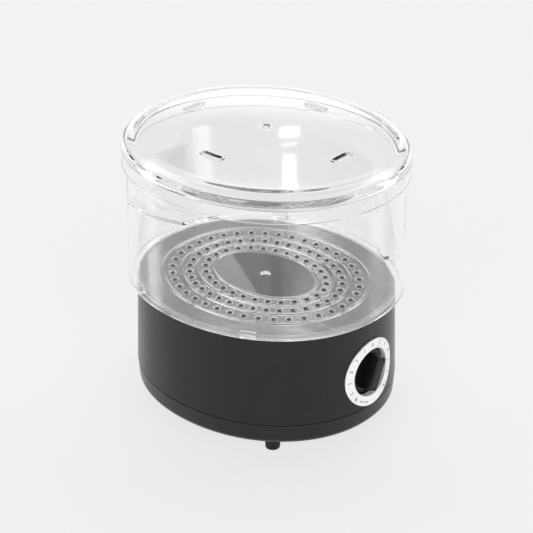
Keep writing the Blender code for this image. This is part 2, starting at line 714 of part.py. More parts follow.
def leads():
    """The four insulated leads that stay inside the base."""
    block_top = PAN_BOTTOM + PAN_FLOOR + 2 * GAP + TERMINAL_SIZE[2]
    timer_rear = TIMER_BACK + 2 * GAP
    blades = UNDER_PLATE - BLADE_DROP - BLADE_SIZE[2] / 2 - 0.7 * MM
    element_x = 14.4 * MM
    element_y = 57 * MM
    routes = {
        "lead_timer_in": [
            (-TERMINAL_PITCH, 61 * MM, 19 * MM),
            (-22 * MM, 40 * MM, 20 * MM),
            (-34 * MM, -20 * MM, 24 * MM),
            (-15 * MM, -40 * MM, 36 * MM),
            (-15 * MM, timer_rear, 36.5 * MM),
        ],
        "lead_timer_out": [
            (15 * MM, timer_rear, 36.5 * MM),
            (15 * MM, -30 * MM, 36 * MM),
            (26 * MM, 10 * MM, 50 * MM),
            (BLADE_X, 26 * MM, 60 * MM),
            (BLADE_X, THERMOSTAT_Y, blades),
        ],
        "lead_element_in": [
            (-BLADE_X, THERMOSTAT_Y, blades),
            (-BLADE_X, 28 * MM, 62 * MM),
            (-element_x, element_y, 58 * MM),
            (-element_x, element_y, ELEMENT_END_Z - GAP),
        ],
        "lead_element_out": [
            (element_x, element_y, ELEMENT_END_Z - GAP),
            (element_x, element_y, 50 * MM),
            (10 * MM, 66 * MM, 44 * MM),
            (TERMINAL_PITCH, TERMINAL_Y, block_top),
        ],
    }
    for name, route in routes.items():
        tube(name, smooth_path(route, 12), LEAD_RADIUS, LEAD_SLEEVE)


def steam_cover():
    """The clear wall of the chamber. A ledge inside its foot rests on the rim of the plate."""
    ledge_top = COVER_BOTTOM + COVER_LEDGE_THICK
    profile = [
        (COVER_REACH_TOP - CLEAR_WALL, COVER_TOP),
        (COVER_REACH_TOP - 0.5 * MM, COVER_TOP),
        (COVER_REACH_TOP, COVER_TOP - 0.5 * MM),
        (COVER_REACH_BOTTOM, COVER_BOTTOM + 0.4 * MM),
        (COVER_REACH_BOTTOM - 0.4 * MM, COVER_BOTTOM),
        (COVER_LEDGE_REACH, COVER_BOTTOM),
        (COVER_LEDGE_REACH, ledge_top),
        (COVER_REACH_BOTTOM - CLEAR_WALL - 0.5 * MM, ledge_top),
        (COVER_REACH_BOTTOM - CLEAR_WALL, ledge_top + 0.5 * MM),
    ]
    cover = turned("steam_cover", profile, CLEAR_PLASTIC, OVAL_STEPS, closed=True, oval=True)
    for turn in LUG_TURNS:
        middle = on_oval(COVER_REACH_BOTTOM - CLEAR_WALL - LUG_SIZE[1] / 2 + 0.6 * MM, math.radians(turn))
        heading = math.atan2(middle.y / HALF_WIDTHS[-2] ** -2, middle.x / REACHES[-2] ** -2)
        centre = (middle.x, middle.y, ledge_top + LUG_SIZE[2] / 2 - 0.7 * MM)
        facing = Matrix.Rotation(heading - math.pi / 2, 4, "Z")
        lug = block(f"cover_lug_{turn}", LUG_SIZE, centre, CLEAR_PLASTIC, turn=facing, collection=CUTTERS)
        combine(cover, lug, "UNION")
    return cover


def lid_top(reach):
    """Height of the domed top at this reach."""
    dome = LID_CENTRE_TOP - LID_SHOULDER_TOP
    return LID_CENTRE_TOP - dome * (reach / (LID_REACH - LID_SHOULDER)) ** 2


def grip_tab(name, side):
    """A flat tab with a bowed outer edge. Its inner edge follows the skirt's wall."""
    skirt = LID_REACH - CLEAR_WALL / 2
    reach_turn = math.asin(TAB_INNER_Y / skirt)
    inner = [on_oval(skirt, reach_turn * (1 - step / 5)) for step in range(11)]
    outer = []
    for step in range(9):
        y = TAB_OUTER_Y * (step / 4 - 1)
        bow = (TAB_TIP_X - TAB_CORNER_X) * (1 - (y / TAB_OUTER_Y) ** 2)
        outer.append(Vector((TAB_CORNER_X + bow, y)))
    flat = bpy.data.curves.new(name + "_outline", "CURVE")
    flat.dimensions = "2D"
    flat.fill_mode = "BOTH"
    flat.extrude = TAB_THICK / 2
    points = inner + outer
    spline = flat.splines.new("POLY")
    spline.points.add(len(points) - 1)
    for slot, point in zip(spline.points, points):
        slot.co = (side * point.x, point.y, 0, 1)
    spline.use_cyclic_u = True
    guide = bpy.data.objects.new(name + "_guide", flat)
    bpy.context.scene.collection.objects.link(guide)
    graph = bpy.context.evaluated_depsgraph_get()
    mesh = bpy.data.meshes.new_from_object(guide.evaluated_get(graph))
    bpy.data.objects.remove(guide, do_unlink=True)
    weld = bmesh.new()
    weld.from_mesh(mesh)
    bmesh.ops.remove_doubles(weld, verts=weld.verts, dist=0.00001)
    bmesh.ops.recalc_face_normals(weld, faces=weld.faces)
    weld.to_mesh(mesh)
    weld.free()
    tab = finished(bpy.data.objects.new(name, mesh), CLEAR_PLASTIC, CUTTERS)
    tab.location = (0, 0, SKIRT_BOTTOM + 0.2 * MM + TAB_THICK / 2)
    return tab


def lid():
    """A domed clear lid. Its skirt drops over the cover and an inner step rests on the cover's rim."""
    step_height = COVER_TOP + GAP
    centre_of_shoulder = (LID_REACH - LID_SHOULDER, LID_SHOULDER_TOP - LID_SHOULDER)
    profile = [(0, LID_CENTRE_TOP)]
    profile += [(reach * MM, lid_top(reach * MM)) for reach in (28, 56, 80)]
    for step in range(5):
        angle = math.pi / 2 * (1 - step / 4)
        profile.append((
            centre_of_shoulder[0] + LID_SHOULDER * math.cos(angle),
            centre_of_shoulder[1] + LID_SHOULDER * math.sin(angle),
        ))
    profile += [
        (LID_REACH, SKIRT_BOTTOM + 0.4 * MM),
        (LID_REACH - 0.4 * MM, SKIRT_BOTTOM),
        (LID_REACH - CLEAR_WALL, SKIRT_BOTTOM),
        (LID_REACH - CLEAR_WALL, step_height),
        (COVER_REACH_TOP - CLEAR_WALL - 0.4 * MM, step_height),
        (COVER_REACH_TOP - CLEAR_WALL - 1.6 * MM, step_height + 3 * MM),
        (LID_REACH - LID_SHOULDER - 2 * MM, LID_SHOULDER_TOP - CLEAR_WALL),
    ]
    profile += [(reach * MM, lid_top(reach * MM) - CLEAR_WALL) for reach in (80, 56, 28)]
    profile.append((0, LID_CENTRE_TOP - CLEAR_WALL))
    cover = turned("lid", profile, CLEAR_PLASTIC, OVAL_STEPS, oval=True)
    for side in (-1, 1):
        combine(cover, grip_tab(f"grip_tab_{side}", side), "UNION")
    vents = [(0, VENT_Y, 0), (0, -VENT_Y, 0), (VENT_X, 0, math.pi / 2), (-VENT_X, 0, math.pi / 2)]
    for index, (x, y, heading) in enumerate(vents):
        centre = (x, y, lid_top(VENT_Y))
        turn = Matrix.Rotation(heading, 4, "Z")
        size = (VENT_LENGTH, VENT_WIDTH, 12 * MM)
        slot = block(f"vent_{index}", size, centre, CLEAR_PLASTIC, turn=turn, collection=CUTTERS)
        rounding = slot.modifiers.new("ends", "BEVEL")
        rounding.width = VENT_WIDTH / 2 - 0.1 * MM
        rounding.segments = 3
        rounding.limit_method = "WEIGHT"
        weights = slot.data.attributes.new("bevel_weight_edge", "FLOAT", "EDGE")
        for edge in slot.data.edges:
            a, b = (slot.data.vertices[i].co for i in edge.vertices)
            weights.data[edge.index].value = 1.0 if abs(a.z - b.z) > MM else 0.0
        combine(cover, slot, "DIFFERENCE")
    return cover


def build():
    base_shell()
    base_bottom()
    for index, (x, y) in enumerate(corners()):
        foot(index, x, y)
        base_screw(index, x, y)
    heating_plate()
    plate_rivet()
    heating_element()
    element_clamp()
    clamp_nut()
    thermostat()
    thermal_fuse()
    terminal_block()
    cable_gland()
    dial_ring()
    knob()
    timer_shaft()
    timer_plate()
    timer_housing()
    for index, side in enumerate((-1, 1)):
        timer_screw(index, side)
    timer_bell()
    leads()
    steam_cover()
    lid()


build()
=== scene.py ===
"""The looks of an oval egg cooker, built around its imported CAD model. Units are metres and +Z is up.

The dial faces -Y, the oval's long axis is Y, and the lid's two grip tabs point along -X and +X.
A "reach" is an oval outline's half-length along Y. HALF_WIDTHS gives the half-width along X for each one.
"""

import json
import math

import bmesh
import bpy
import numpy as np
from mathutils import Matrix, Vector


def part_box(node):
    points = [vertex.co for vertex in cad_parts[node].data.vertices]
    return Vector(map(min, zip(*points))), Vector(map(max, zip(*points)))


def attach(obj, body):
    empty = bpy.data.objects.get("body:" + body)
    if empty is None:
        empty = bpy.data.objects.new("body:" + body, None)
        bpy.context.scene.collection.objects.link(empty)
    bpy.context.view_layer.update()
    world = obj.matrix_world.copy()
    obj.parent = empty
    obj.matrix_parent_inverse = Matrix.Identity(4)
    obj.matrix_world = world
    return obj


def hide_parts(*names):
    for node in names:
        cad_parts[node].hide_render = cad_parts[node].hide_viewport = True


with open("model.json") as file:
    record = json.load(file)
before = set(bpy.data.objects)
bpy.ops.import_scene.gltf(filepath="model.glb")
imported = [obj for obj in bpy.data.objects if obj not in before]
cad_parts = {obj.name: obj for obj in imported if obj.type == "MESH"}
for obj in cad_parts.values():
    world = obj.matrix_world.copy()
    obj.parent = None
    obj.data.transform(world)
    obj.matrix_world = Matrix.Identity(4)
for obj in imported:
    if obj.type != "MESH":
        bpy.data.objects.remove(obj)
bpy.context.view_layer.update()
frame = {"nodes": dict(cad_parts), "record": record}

MM = 0.001
GAP = 0.3 * MM

# The oval family that every outline of the cooker belongs to.
OVAL_POWER = 2.08
REACHES = (8 * MM, 44.5 * MM, 55 * MM, 66 * MM, 80 * MM, 104 * MM, 124 * MM)
HALF_WIDTHS = (8 * MM, 31 * MM, 44.2 * MM, 55.2 * MM, 68.8 * MM, 92.7 * MM, 112.7 * MM)
STEPS = 240
FINE_STEPS = 720
CURVE_STEPS = 6

# Sizes read from the frame.
SHELL_LOW, SHELL_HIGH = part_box("base_shell")
PAN_LOW, PAN_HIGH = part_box("base_bottom")
PLATE_LOW, PLATE_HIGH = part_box("heating_plate")
COVER_LOW, COVER_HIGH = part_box("steam_cover")
LID_LOW, LID_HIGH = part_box("lid")
KNOB_LOW, KNOB_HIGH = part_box("knob")
RING_LOW, RING_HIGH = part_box("dial_ring")
GLAND_LOW, GLAND_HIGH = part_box("cable_gland")
RIVET_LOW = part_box("plate_rivet")[0]

SHELL_BOTTOM = SHELL_LOW.z
SHELL_REACH_BOTTOM = SHELL_HIGH.y
SHELL_WALL = 2.5 * MM
PLATE_REACH = PLATE_HIGH.y
PLATE_RIM_BOTTOM = PLATE_LOW.z
PLATE_TOP = COVER_LOW.z - GAP
PLATE_THICK = 1.0 * MM
PLATE_RIM_THICK = 0.8 * MM
LEDGE_REACH = 88 * MM
DIAL_HEIGHT = (RING_LOW.z + RING_HIGH.z) / 2
DIAL_RADIUS = (RING_HIGH.z - RING_LOW.z) / 2
RING_INNER = 18.2 * MM
RING_LIFT = 1.3 * MM
OPENING_RADIUS = 18.6 * MM
CUP_RADIUS = 21 * MM
CUP_BACK = -88 * MM
CUP_FLOOR = 2 * MM
CUP_LENGTH = 22 * MM
SHAFT_HOLE_RADIUS = 4.2 * MM
INLET_RADIUS = 5.6 * MM
FOOT_HOLE_RADIUS = 3 * MM
SCREW_PLACES = [(x * 74 * MM, y * 32 * MM) for x in (-1, 1) for y in (-1, 1)]
BOSS_RADIUS = 4 * MM
BOSS_BORE = 1.7 * MM
BOSS_TOP = 45 * MM
PAN_VENT_SIZE = (30 * MM, 3 * MM, 10 * MM)
PAN_VENT_PITCH = 9 * MM
CLEAR_WALL = 2.4 * MM
COVER_TAPER = 1.7 * MM

# The camera: the turn about the cooker, the height angle, and what it aims at.
CAMERA_TURN = math.radians(-49.51)
CAMERA_RISE = math.radians(28.06)
CAMERA_DISTANCE = 1.31666
CAMERA_AIM_HEIGHT = 102.4 * MM
CAMERA_AIM_SIDE = 0.68 * MM
CAMERA_LENS = 121.58
CAMERA_SENSOR = 36.0

TURNS = np.linspace(0, 2 * math.pi, STEPS, endpoint=False)
FINE_TURNS = np.linspace(0, 2 * math.pi, FINE_STEPS, endpoint=False)


# ---------------------------------------------------------------- node helpers


def linked(tree, socket, value):
    """Sets a socket to a number or a colour, or links it to another socket."""
    if isinstance(value, bpy.types.NodeSocket):
        tree.links.new(value, socket)
    elif isinstance(value, (tuple, list)) and len(value) == 3 and socket.type == "RGBA":
        socket.default_value = (*value, 1.0)
    else:
        socket.default_value = value


def maths(tree, operation, *values):
    node = tree.nodes.new("ShaderNodeMath")
    node.operation = operation
    for socket, value in zip(node.inputs, values):
        linked(tree, socket, value)
    return node.outputs[0]


def spread(tree, value, low, high, to_low, to_high, smooth=False):
    """Maps a value's range to another, clamped at both ends."""
    node = tree.nodes.new("ShaderNodeMapRange")
    node.interpolation_type = "SMOOTHSTEP" if smooth else "LINEAR"
    for socket, given in zip(node.inputs, (value, low, high, to_low, to_high)):
        linked(tree, socket, given)
    return node.outputs[0]


def mixed(tree, share, first, second):
    node = tree.nodes.new("ShaderNodeMix")
    node.data_type = "RGBA"
    linked(tree, node.inputs[0], share)
    linked(tree, node.inputs[6], first)
    linked(tree, node.inputs[7], second)
    return node.outputs[2]


def window(tree, value, low, high, edge):
    """1 between low and high, with soft sides."""
    rise = spread(tree, value, low - edge, low + edge, 0.0, 1.0, smooth=True)
    fall = spread(tree, value, high - edge, high + edge, 1.0, 0.0, smooth=True)
    return maths(tree, "MULTIPLY", rise, fall)


def noise(tree, where, scale, detail=3.0, roughness=0.5, distortion=0.0):
    node = tree.nodes.new("ShaderNodeTexNoise")
    tree.links.new(where, node.inputs["Vector"])
    node.inputs["Scale"].default_value = scale
    node.inputs["Detail"].default_value = detail
    node.inputs["Roughness"].default_value = roughness
    node.inputs["Distortion"].default_value = distortion
    return node.outputs["Fac"]


def stretched(tree, where, scale):
    node = tree.nodes.new("ShaderNodeMapping")
    tree.links.new(where, node.inputs["Vector"])
    node.inputs["Scale"].default_value = scale
    return node.outputs[0]


def bumped(tree, height, distance, normal=None):
    node = tree.nodes.new("ShaderNodeBump")
    node.inputs["Strength"].default_value = 1.0
    node.inputs["Distance"].default_value = distance
    tree.links.new(height, node.inputs["Height"])
    if normal is not None:
        tree.links.new(normal, node.inputs["Normal"])
    return node.outputs[0]


def new_material(name):
    made = bpy.data.materials.new(name)
    made.use_nodes = True
    tree = made.node_tree
    shader = tree.nodes["Principled BSDF"]
    where = tree.nodes.new("ShaderNodeTexCoord").outputs["Object"]
    return made, tree, shader, where


# ------------------------------------------------------------------- materials


def worn_solid(name, dark, light, roughness, blotch, grain, depth, wear=None, metallic=0.0, stretch=(1, 1, 1),
               specular=0.5):
    """An opaque material: blotches and grain in its colour and gloss, fine relief, and worn edges."""
    made, tree, shader, where = new_material(name)
    along = stretched(tree, where, stretch)
    blotches = noise(tree, along, blotch, detail=4.0, roughness=0.6)
    grains = noise(tree, along, grain, detail=2.0)
    shades = maths(tree, "ADD", maths(tree, "MULTIPLY", blotches, 0.7), maths(tree, "MULTIPLY", grains, 0.3))
    colour = mixed(tree, spread(tree, shades, 0.35, 0.65, 0.0, 1.0), dark, light)
    if wear is not None:
        pointiness = tree.nodes.new("ShaderNodeNewGeometry").outputs["Pointiness"]
        edges = spread(tree, pointiness, 0.53, 0.62, 0.0, 0.5)
        colour = mixed(tree, maths(tree, "MULTIPLY", edges, blotches), colour, wear)
    tree.links.new(colour, shader.inputs["Base Color"])
    gloss = spread(tree, shades, 0.3, 0.7, roughness[0], roughness[1])
    tree.links.new(gloss, shader.inputs["Roughness"])
    tree.links.new(bumped(tree, grains, depth), shader.inputs["Normal"])
    shader.inputs["Metallic"].default_value = metallic
    shader.inputs["Specular IOR Level"].default_value = specular
    return made


def clear_plastic(name):
    """Moulded clear plastic: polished, with faint waves, fine scratches and haze. Light passes through it."""
    made, tree, shader, where = new_material(name)
    haze = noise(tree, where, 24.0, detail=5.0, roughness=0.65)
    scratches = noise(tree, stretched(tree, where, (1.0, 9.0, 9.0)), 260.0, detail=2.0)
    tint = mixed(tree, spread(tree, haze, 0.35, 0.65, 0.0, 1.0), (0.985, 0.99, 0.99), (1.0, 1.0, 1.0))
    tree.links.new(tint, shader.inputs["Base Color"])
    tree.links.new(spread(tree, haze, 0.45, 0.75, 0.0, 0.035), shader.inputs["Roughness"])
    waves = bumped(tree, noise(tree, where, 38.0, detail=1.0), 0.05 * MM)
    tree.links.new(bumped(tree, scratches, 0.0015 * MM, normal=waves), shader.inputs["Normal"])
    shader.inputs["IOR"].default_value = 1.49
    shader.inputs["Transmission Weight"].default_value = 1.0
    see_through = tree.nodes.new("ShaderNodeBsdfTransparent")
    see_through.inputs["Color"].default_value = (0.96, 0.965, 0.97, 1.0)
    choice = tree.nodes.new("ShaderNodeMixShader")
    tree.links.new(tree.nodes.new("ShaderNodeLightPath").outputs["Is Shadow Ray"], choice.inputs[0])
    tree.links.new(shader.outputs[0], choice.inputs[1])
    tree.links.new(see_through.outputs[0], choice.inputs[2])
    tree.links.new(choice.outputs[0], tree.nodes["Material Output"].inputs["Surface"])
    return made


# The plate's flat middle, as half-sizes, and the dark reflections painted on it, each with a direction and a
# place along it.
PLATE_MIDDLE = (29.5 * MM, 42 * MM)
DARK_REFLECTION_DIRECTION = (0.845, -0.534)
DARK_REFLECTION_FROM = -16 * MM
DARK_REFLECTION_FULL = -12.5 * MM
DARK_REFLECTION_SHARE = 0.78
REFLECTED_STREAK_DIRECTION = (0.649, -0.760)
REFLECTED_STREAK_FROM = 3.6 * MM
REFLECTED_STREAK_TO = 12.4 * MM
REFLECTED_STREAK_SHARE = 0.16
PLATE_DARK = (0.36, 0.36, 0.375)
PLATE_LIGHT = (0.43, 0.43, 0.44)
# The colour that the painted dark reflections on the flat middle blend towards.
PLATE_PAINTED_REFLECTION = (0.10, 0.10, 0.105)


def placed_along(tree, x, y, direction):
    """How far a place lies along a direction in the plane."""
    x_part = maths(tree, "MULTIPLY", x, direction[0])
    y_part = maths(tree, "MULTIPLY", y, direction[1])
    return maths(tree, "ADD", x_part, y_part)


def rolled_plate(name):
    """Pressed and rolled sheet metal: a satin face with stains, fine rolling lines, and two dark reflections
    painted into its colour.
    """
    made, tree, shader, where = new_material(name)
    stains = noise(tree, where, 30.0, detail=5.0, roughness=0.6, distortion=0.6)
    lines = noise(tree, stretched(tree, where, (1.0, 12.0, 1.0)), 60.0, detail=2.0)
    shades = maths(tree, "ADD", maths(tree, "MULTIPLY", stains, 0.85), maths(tree, "MULTIPLY", lines, 0.15))
    colour = mixed(tree, spread(tree, shades, 0.35, 0.65, 0.0, 1.0), PLATE_DARK, PLATE_LIGHT)
    # The flat middle has a dark reflection painted into its colour beyond a slanting line, and one painted
    # streak of dark reflection.
    split = tree.nodes.new("ShaderNodeSeparateXYZ")
    tree.links.new(where, split.inputs[0])
    x, y = split.outputs[0], split.outputs[1]
    beyond = placed_along(tree, x, y, DARK_REFLECTION_DIRECTION)
    painted_dark_reflection = spread(tree, beyond, DARK_REFLECTION_FROM, DARK_REFLECTION_FULL, 0.0, DARK_REFLECTION_SHARE, smooth=True)
    painted_streak = window(tree, placed_along(tree, x, y, REFLECTED_STREAK_DIRECTION), REFLECTED_STREAK_FROM, REFLECTED_STREAK_TO, MM)
    oval_share = maths(tree, "ADD", maths(tree, "POWER", maths(tree, "DIVIDE", x, PLATE_MIDDLE[0]), 2.0),
                       maths(tree, "POWER", maths(tree, "DIVIDE", y, PLATE_MIDDLE[1]), 2.0))
    middle = spread(tree, oval_share, 0.88, 1.0, 1.0, 0.0, smooth=True)
    painted_reflections = maths(tree, "ADD", painted_dark_reflection, maths(tree, "MULTIPLY", painted_streak, REFLECTED_STREAK_SHARE))
    # Here the painted dark reflections darken the colour of the flat middle.
    colour = mixed(tree, maths(tree, "MULTIPLY", middle, painted_reflections), colour, PLATE_PAINTED_REFLECTION)
    tree.links.new(colour, shader.inputs["Base Color"])
    tree.links.new(spread(tree, shades, 0.3, 0.7, 0.055, 0.085), shader.inputs["Roughness"])
    tree.links.new(bumped(tree, stains, 0.002 * MM), shader.inputs["Normal"])
    shader.inputs["Metallic"].default_value = 1.0
    return made


# The pale table's own light, and its share of what the table gives off.
FLOOR_GLOW = 1.14
FLOOR_GLOW_SHARE = 0.70


def floor_material():
    """A pale table lit from below, so that only soft contact shadows fall on it."""
    made, tree, shader, where = new_material("studio_floor")
    shades = noise(tree, where, 3.0, detail=2.0)
    colour = mixed(tree, shades, (0.895, 0.895, 0.895), (0.905, 0.905, 0.905))
    tree.links.new(colour, shader.inputs["Base Color"])
    shader.inputs["Roughness"].default_value = 1.0
    shader.inputs["Specular IOR Level"].default_value = 0.0
    glow = tree.nodes.new("ShaderNodeEmission")
    tree.links.new(colour, glow.inputs["Color"])
    glow.inputs["Strength"].default_value = FLOOR_GLOW
    table = tree.nodes.new("ShaderNodeMixShader")
    table.inputs[0].default_value = FLOOR_GLOW_SHARE
    tree.links.new(shader.outputs[0], table.inputs[1])
    tree.links.new(glow.outputs[0], table.inputs[2])
    tree.links.new(table.outputs[0], tree.nodes["Material Output"].inputs["Surface"])
    return made


def record_materials():
    """One finished material for each slot of the record."""
    return {
        "black_plastic": worn_solid("black_plastic", (0.0040, 0.0036, 0.0032), (0.0070, 0.0064, 0.0056),
                                    (0.24, 0.34), 35.0, 1500.0, 0.010 * MM, wear=(0.05, 0.05, 0.05),
                                    specular=0.41),
        "knob_plastic": worn_solid("knob_plastic", (0.002, 0.002, 0.002), (0.004, 0.004, 0.004), (0.22, 0.34),
                                   90.0, 1800.0, 0.008 * MM, wear=(0.04, 0.04, 0.04), specular=0.26),
        "white_plastic": worn_solid("white_plastic", (0.92, 0.92, 0.915), (0.97, 0.97, 0.965), (0.30, 0.45),
                                    60.0, 1500.0, 0.006 * MM),
        "clear_plastic": clear_plastic("clear_plastic"),
        "plate_metal": rolled_plate("plate_metal"),
        "bright_steel": worn_solid("bright_steel", (0.60, 0.60, 0.61), (0.74, 0.74, 0.75), (0.16, 0.30),
                                   80.0, 1200.0, 0.006 * MM, metallic=1.0),
        "brass": worn_solid("brass", (0.58, 0.42, 0.18), (0.76, 0.58, 0.28), (0.22, 0.40),
                            70.0, 1200.0, 0.006 * MM, metallic=1.0),
        "rubber": worn_solid("rubber", (0.006, 0.006, 0.006), (0.012, 0.012, 0.012), (0.55, 0.75),
                             120.0, 2200.0, 0.03 * MM, wear=(0.05, 0.05, 0.05), specular=0.3),
        "ceramic": worn_solid("ceramic", (0.64, 0.61, 0.54), (0.78, 0.75, 0.69), (0.50, 0.70),
                              60.0, 1500.0, 0.02 * MM),
        "lead_sleeve": worn_solid("lead_sleeve", (0.60, 0.59, 0.55), (0.80, 0.79, 0.75), (0.65, 0.85),
                                  500.0, 2600.0, 0.06 * MM, stretch=(1.0, 0.3, 1.0)),
    }


LOOKS = record_materials()


def print_paint(name, dark, light, roughness=(0.4, 0.55)):
    return worn_solid(name, dark, light, roughness, 300.0, 3000.0, 0.004 * MM)


PRINT_GREY = print_paint("print_grey", (0.10, 0.10, 0.11), (0.20, 0.20, 0.22))
PRINT_PALE = print_paint("print_pale", (0.38, 0.38, 0.42), (0.50, 0.50, 0.54))
PRINT_RED = print_paint("print_red", (0.42, 0.010, 0.012), (0.60, 0.020, 0.020), (0.35, 0.5))


# ---------------------------------------------------------------- mesh helpers


def half_width(reach):
    return np.interp(reach, REACHES, HALF_WIDTHS)


def oval(width, reach, height, turns=TURNS):
    """The points of one level oval."""
    across = np.cos(turns)
    along = np.sin(turns)
    outward = (np.abs(across) ** OVAL_POWER + np.abs(along) ** OVAL_POWER) ** (-1 / OVAL_POWER)
    return np.stack([width * outward * across, reach * outward * along, np.full(len(turns), height)], axis=1)


def circle(radius, height, count):
    turns = np.linspace(0, 2 * math.pi, count, endpoint=False)
    return np.stack([radius * np.cos(turns), radius * np.sin(turns), np.full(count, height)], axis=1)


def softened(corners, closed=False):
    """An outline of (reach, height, rounding) corners, each rounded corner drawn as a curve."""
    outline = []
    for index, (reach, height, rounding) in enumerate(corners):
        here = np.array((reach, height))
        inside = closed or 0 < index < len(corners) - 1
        if not rounding or not inside:
            outline.append(here)
            continue
        before = np.array(corners[index - 1][:2]) - here
        after = np.array(corners[(index + 1) % len(corners)][:2]) - here
        start = here + before / np.linalg.norm(before) * rounding
        end = here + after / np.linalg.norm(after) * rounding
        for share in np.linspace(0, 1, CURVE_STEPS):
            outline.append((1 - share) ** 2 * start + 2 * share * (1 - share) * here + share ** 2 * end)
    return outline


def oval_rings(outline, turns=TURNS):
    return [oval(half_width(reach), reach, height, turns) for reach, height in outline]


def circle_rings(outline, count=96):
    return [circle(radius, height, count) for radius, height in outline]


def place(obj, look, sharp=40.0):
    obj.data.materials.clear()
    obj.data.materials.append(look)
    obj.data.shade_smooth()
    obj.data.set_sharp_from_angle(angle=math.radians(sharp))
    return obj


def skin(name, rings, look, closed=False, triangles=False, sharp=40.0):
    """A mesh over rings that all have the same number of points. A ring of no size becomes a pole."""
    rings = np.asarray(rings)
    count, steps = rings.shape[:2]
    index = np.arange(count * steps).reshape(count, steps)
    if closed:
        index = np.vstack([index, index[:1]])
    beside = np.roll(index, -1, axis=1)
    quads = np.stack([index[:-1], beside[:-1], beside[1:], index[1:]], axis=-1).reshape(-1, 4)
    mesh = bpy.data.meshes.new(name)
    mesh.from_pydata(rings.reshape(-1, 3).tolist(), [], quads.tolist())
    obj = bpy.data.objects.new(name, mesh)
    bpy.context.scene.collection.objects.link(obj)
    tidy(obj, triangles)
    return place(obj, look, sharp)


def tidy(obj, triangles=False):
    work = bmesh.new()
    work.from_mesh(obj.data)
    bmesh.ops.remove_doubles(work, verts=work.verts, dist=0.0000005)
    if triangles:
        bmesh.ops.triangulate(work, faces=work.faces)
    bmesh.ops.recalc_face_normals(work, faces=work.faces)
    work.to_mesh(obj.data)
    work.free()


def apply_modifiers(obj):
    graph = bpy.context.evaluated_depsgraph_get()
    obj.data = bpy.data.meshes.new_from_object(obj.evaluated_get(graph))
    obj.modifiers.clear()


def combine(obj, other, operation="DIFFERENCE"):
    """Cuts the other object from this one, or joins it to this one, and removes it."""
    look = obj.data.materials[0]
    modifier = obj.modifiers.new("combine", "BOOLEAN")
    modifier.operation = operation
    modifier.solver = "EXACT"
    modifier.object = other
    apply_modifiers(obj)
    bpy.data.objects.remove(other, do_unlink=True)
    return place(obj, look)


def moved(obj, matrix):
    obj.data.transform(matrix)
    return obj


def along_y(obj, x, y, z):
    """Turns a piece made about +Z so that its top points to -Y, and puts it in place."""
    return moved(obj, Matrix.Translation((x, y, z)) @ Matrix.Rotation(math.pi / 2, 4, "X"))


def rod(name, radius, bottom, top, look, count=64):
    return skin(name, circle_rings([(0, top), (radius, top), (radius, bottom), (0, bottom)], count), look)


def new_object(name, work):
    """An object with the working mesh's geometry, linked to the scene."""
    mesh = bpy.data.meshes.new(name)
    work.to_mesh(mesh)
    work.free()
    obj = bpy.data.objects.new(name, mesh)
    bpy.context.scene.collection.objects.link(obj)
    return obj


def block(name, size, look, bevel=0.0, segments=3):
    """A box about the origin with all its edges rounded."""
    work = bmesh.new()
    bmesh.ops.create_cube(work, size=1.0)
    bmesh.ops.scale(work, vec=size, verts=work.verts)
    if bevel:
        bmesh.ops.bevel(work, geom=work.edges, offset=bevel, segments=segments, profile=0.5, affect="EDGES")
    return place(new_object(name, work), look)


def stands_for(piece, node, body, flat_faces=True):
    """Keeps flat faces flat beside their rounded edges, then puts the piece on its body and hides the CAD
    node it replaces.
    """
    if flat_faces:
        weighted = piece.modifiers.new("flat_faces", "WEIGHTED_NORMAL")
        weighted.keep_sharp = True
    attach(piece, body)
    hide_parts(node)


def shell_reach(height):
    """Outer reach of the base shell's wall at this height."""
    share = (height - SHELL_BOTTOM) / (PLATE_RIM_BOTTOM - SHELL_BOTTOM)
    return SHELL_REACH_BOTTOM + share * (PLATE_REACH - SHELL_REACH_BOTTOM)


def wall_front(x, height, lift):
    """The y of the wall's front face, this far outside it, at a place beside the dial's axis."""
    reach = shell_reach(height) + lift
    width = half_width(reach)
    return -reach * (1 - np.abs(x / width) ** OVAL_POWER) ** (1 / OVAL_POWER)


# ---------------------------------------------------------------------- pieces


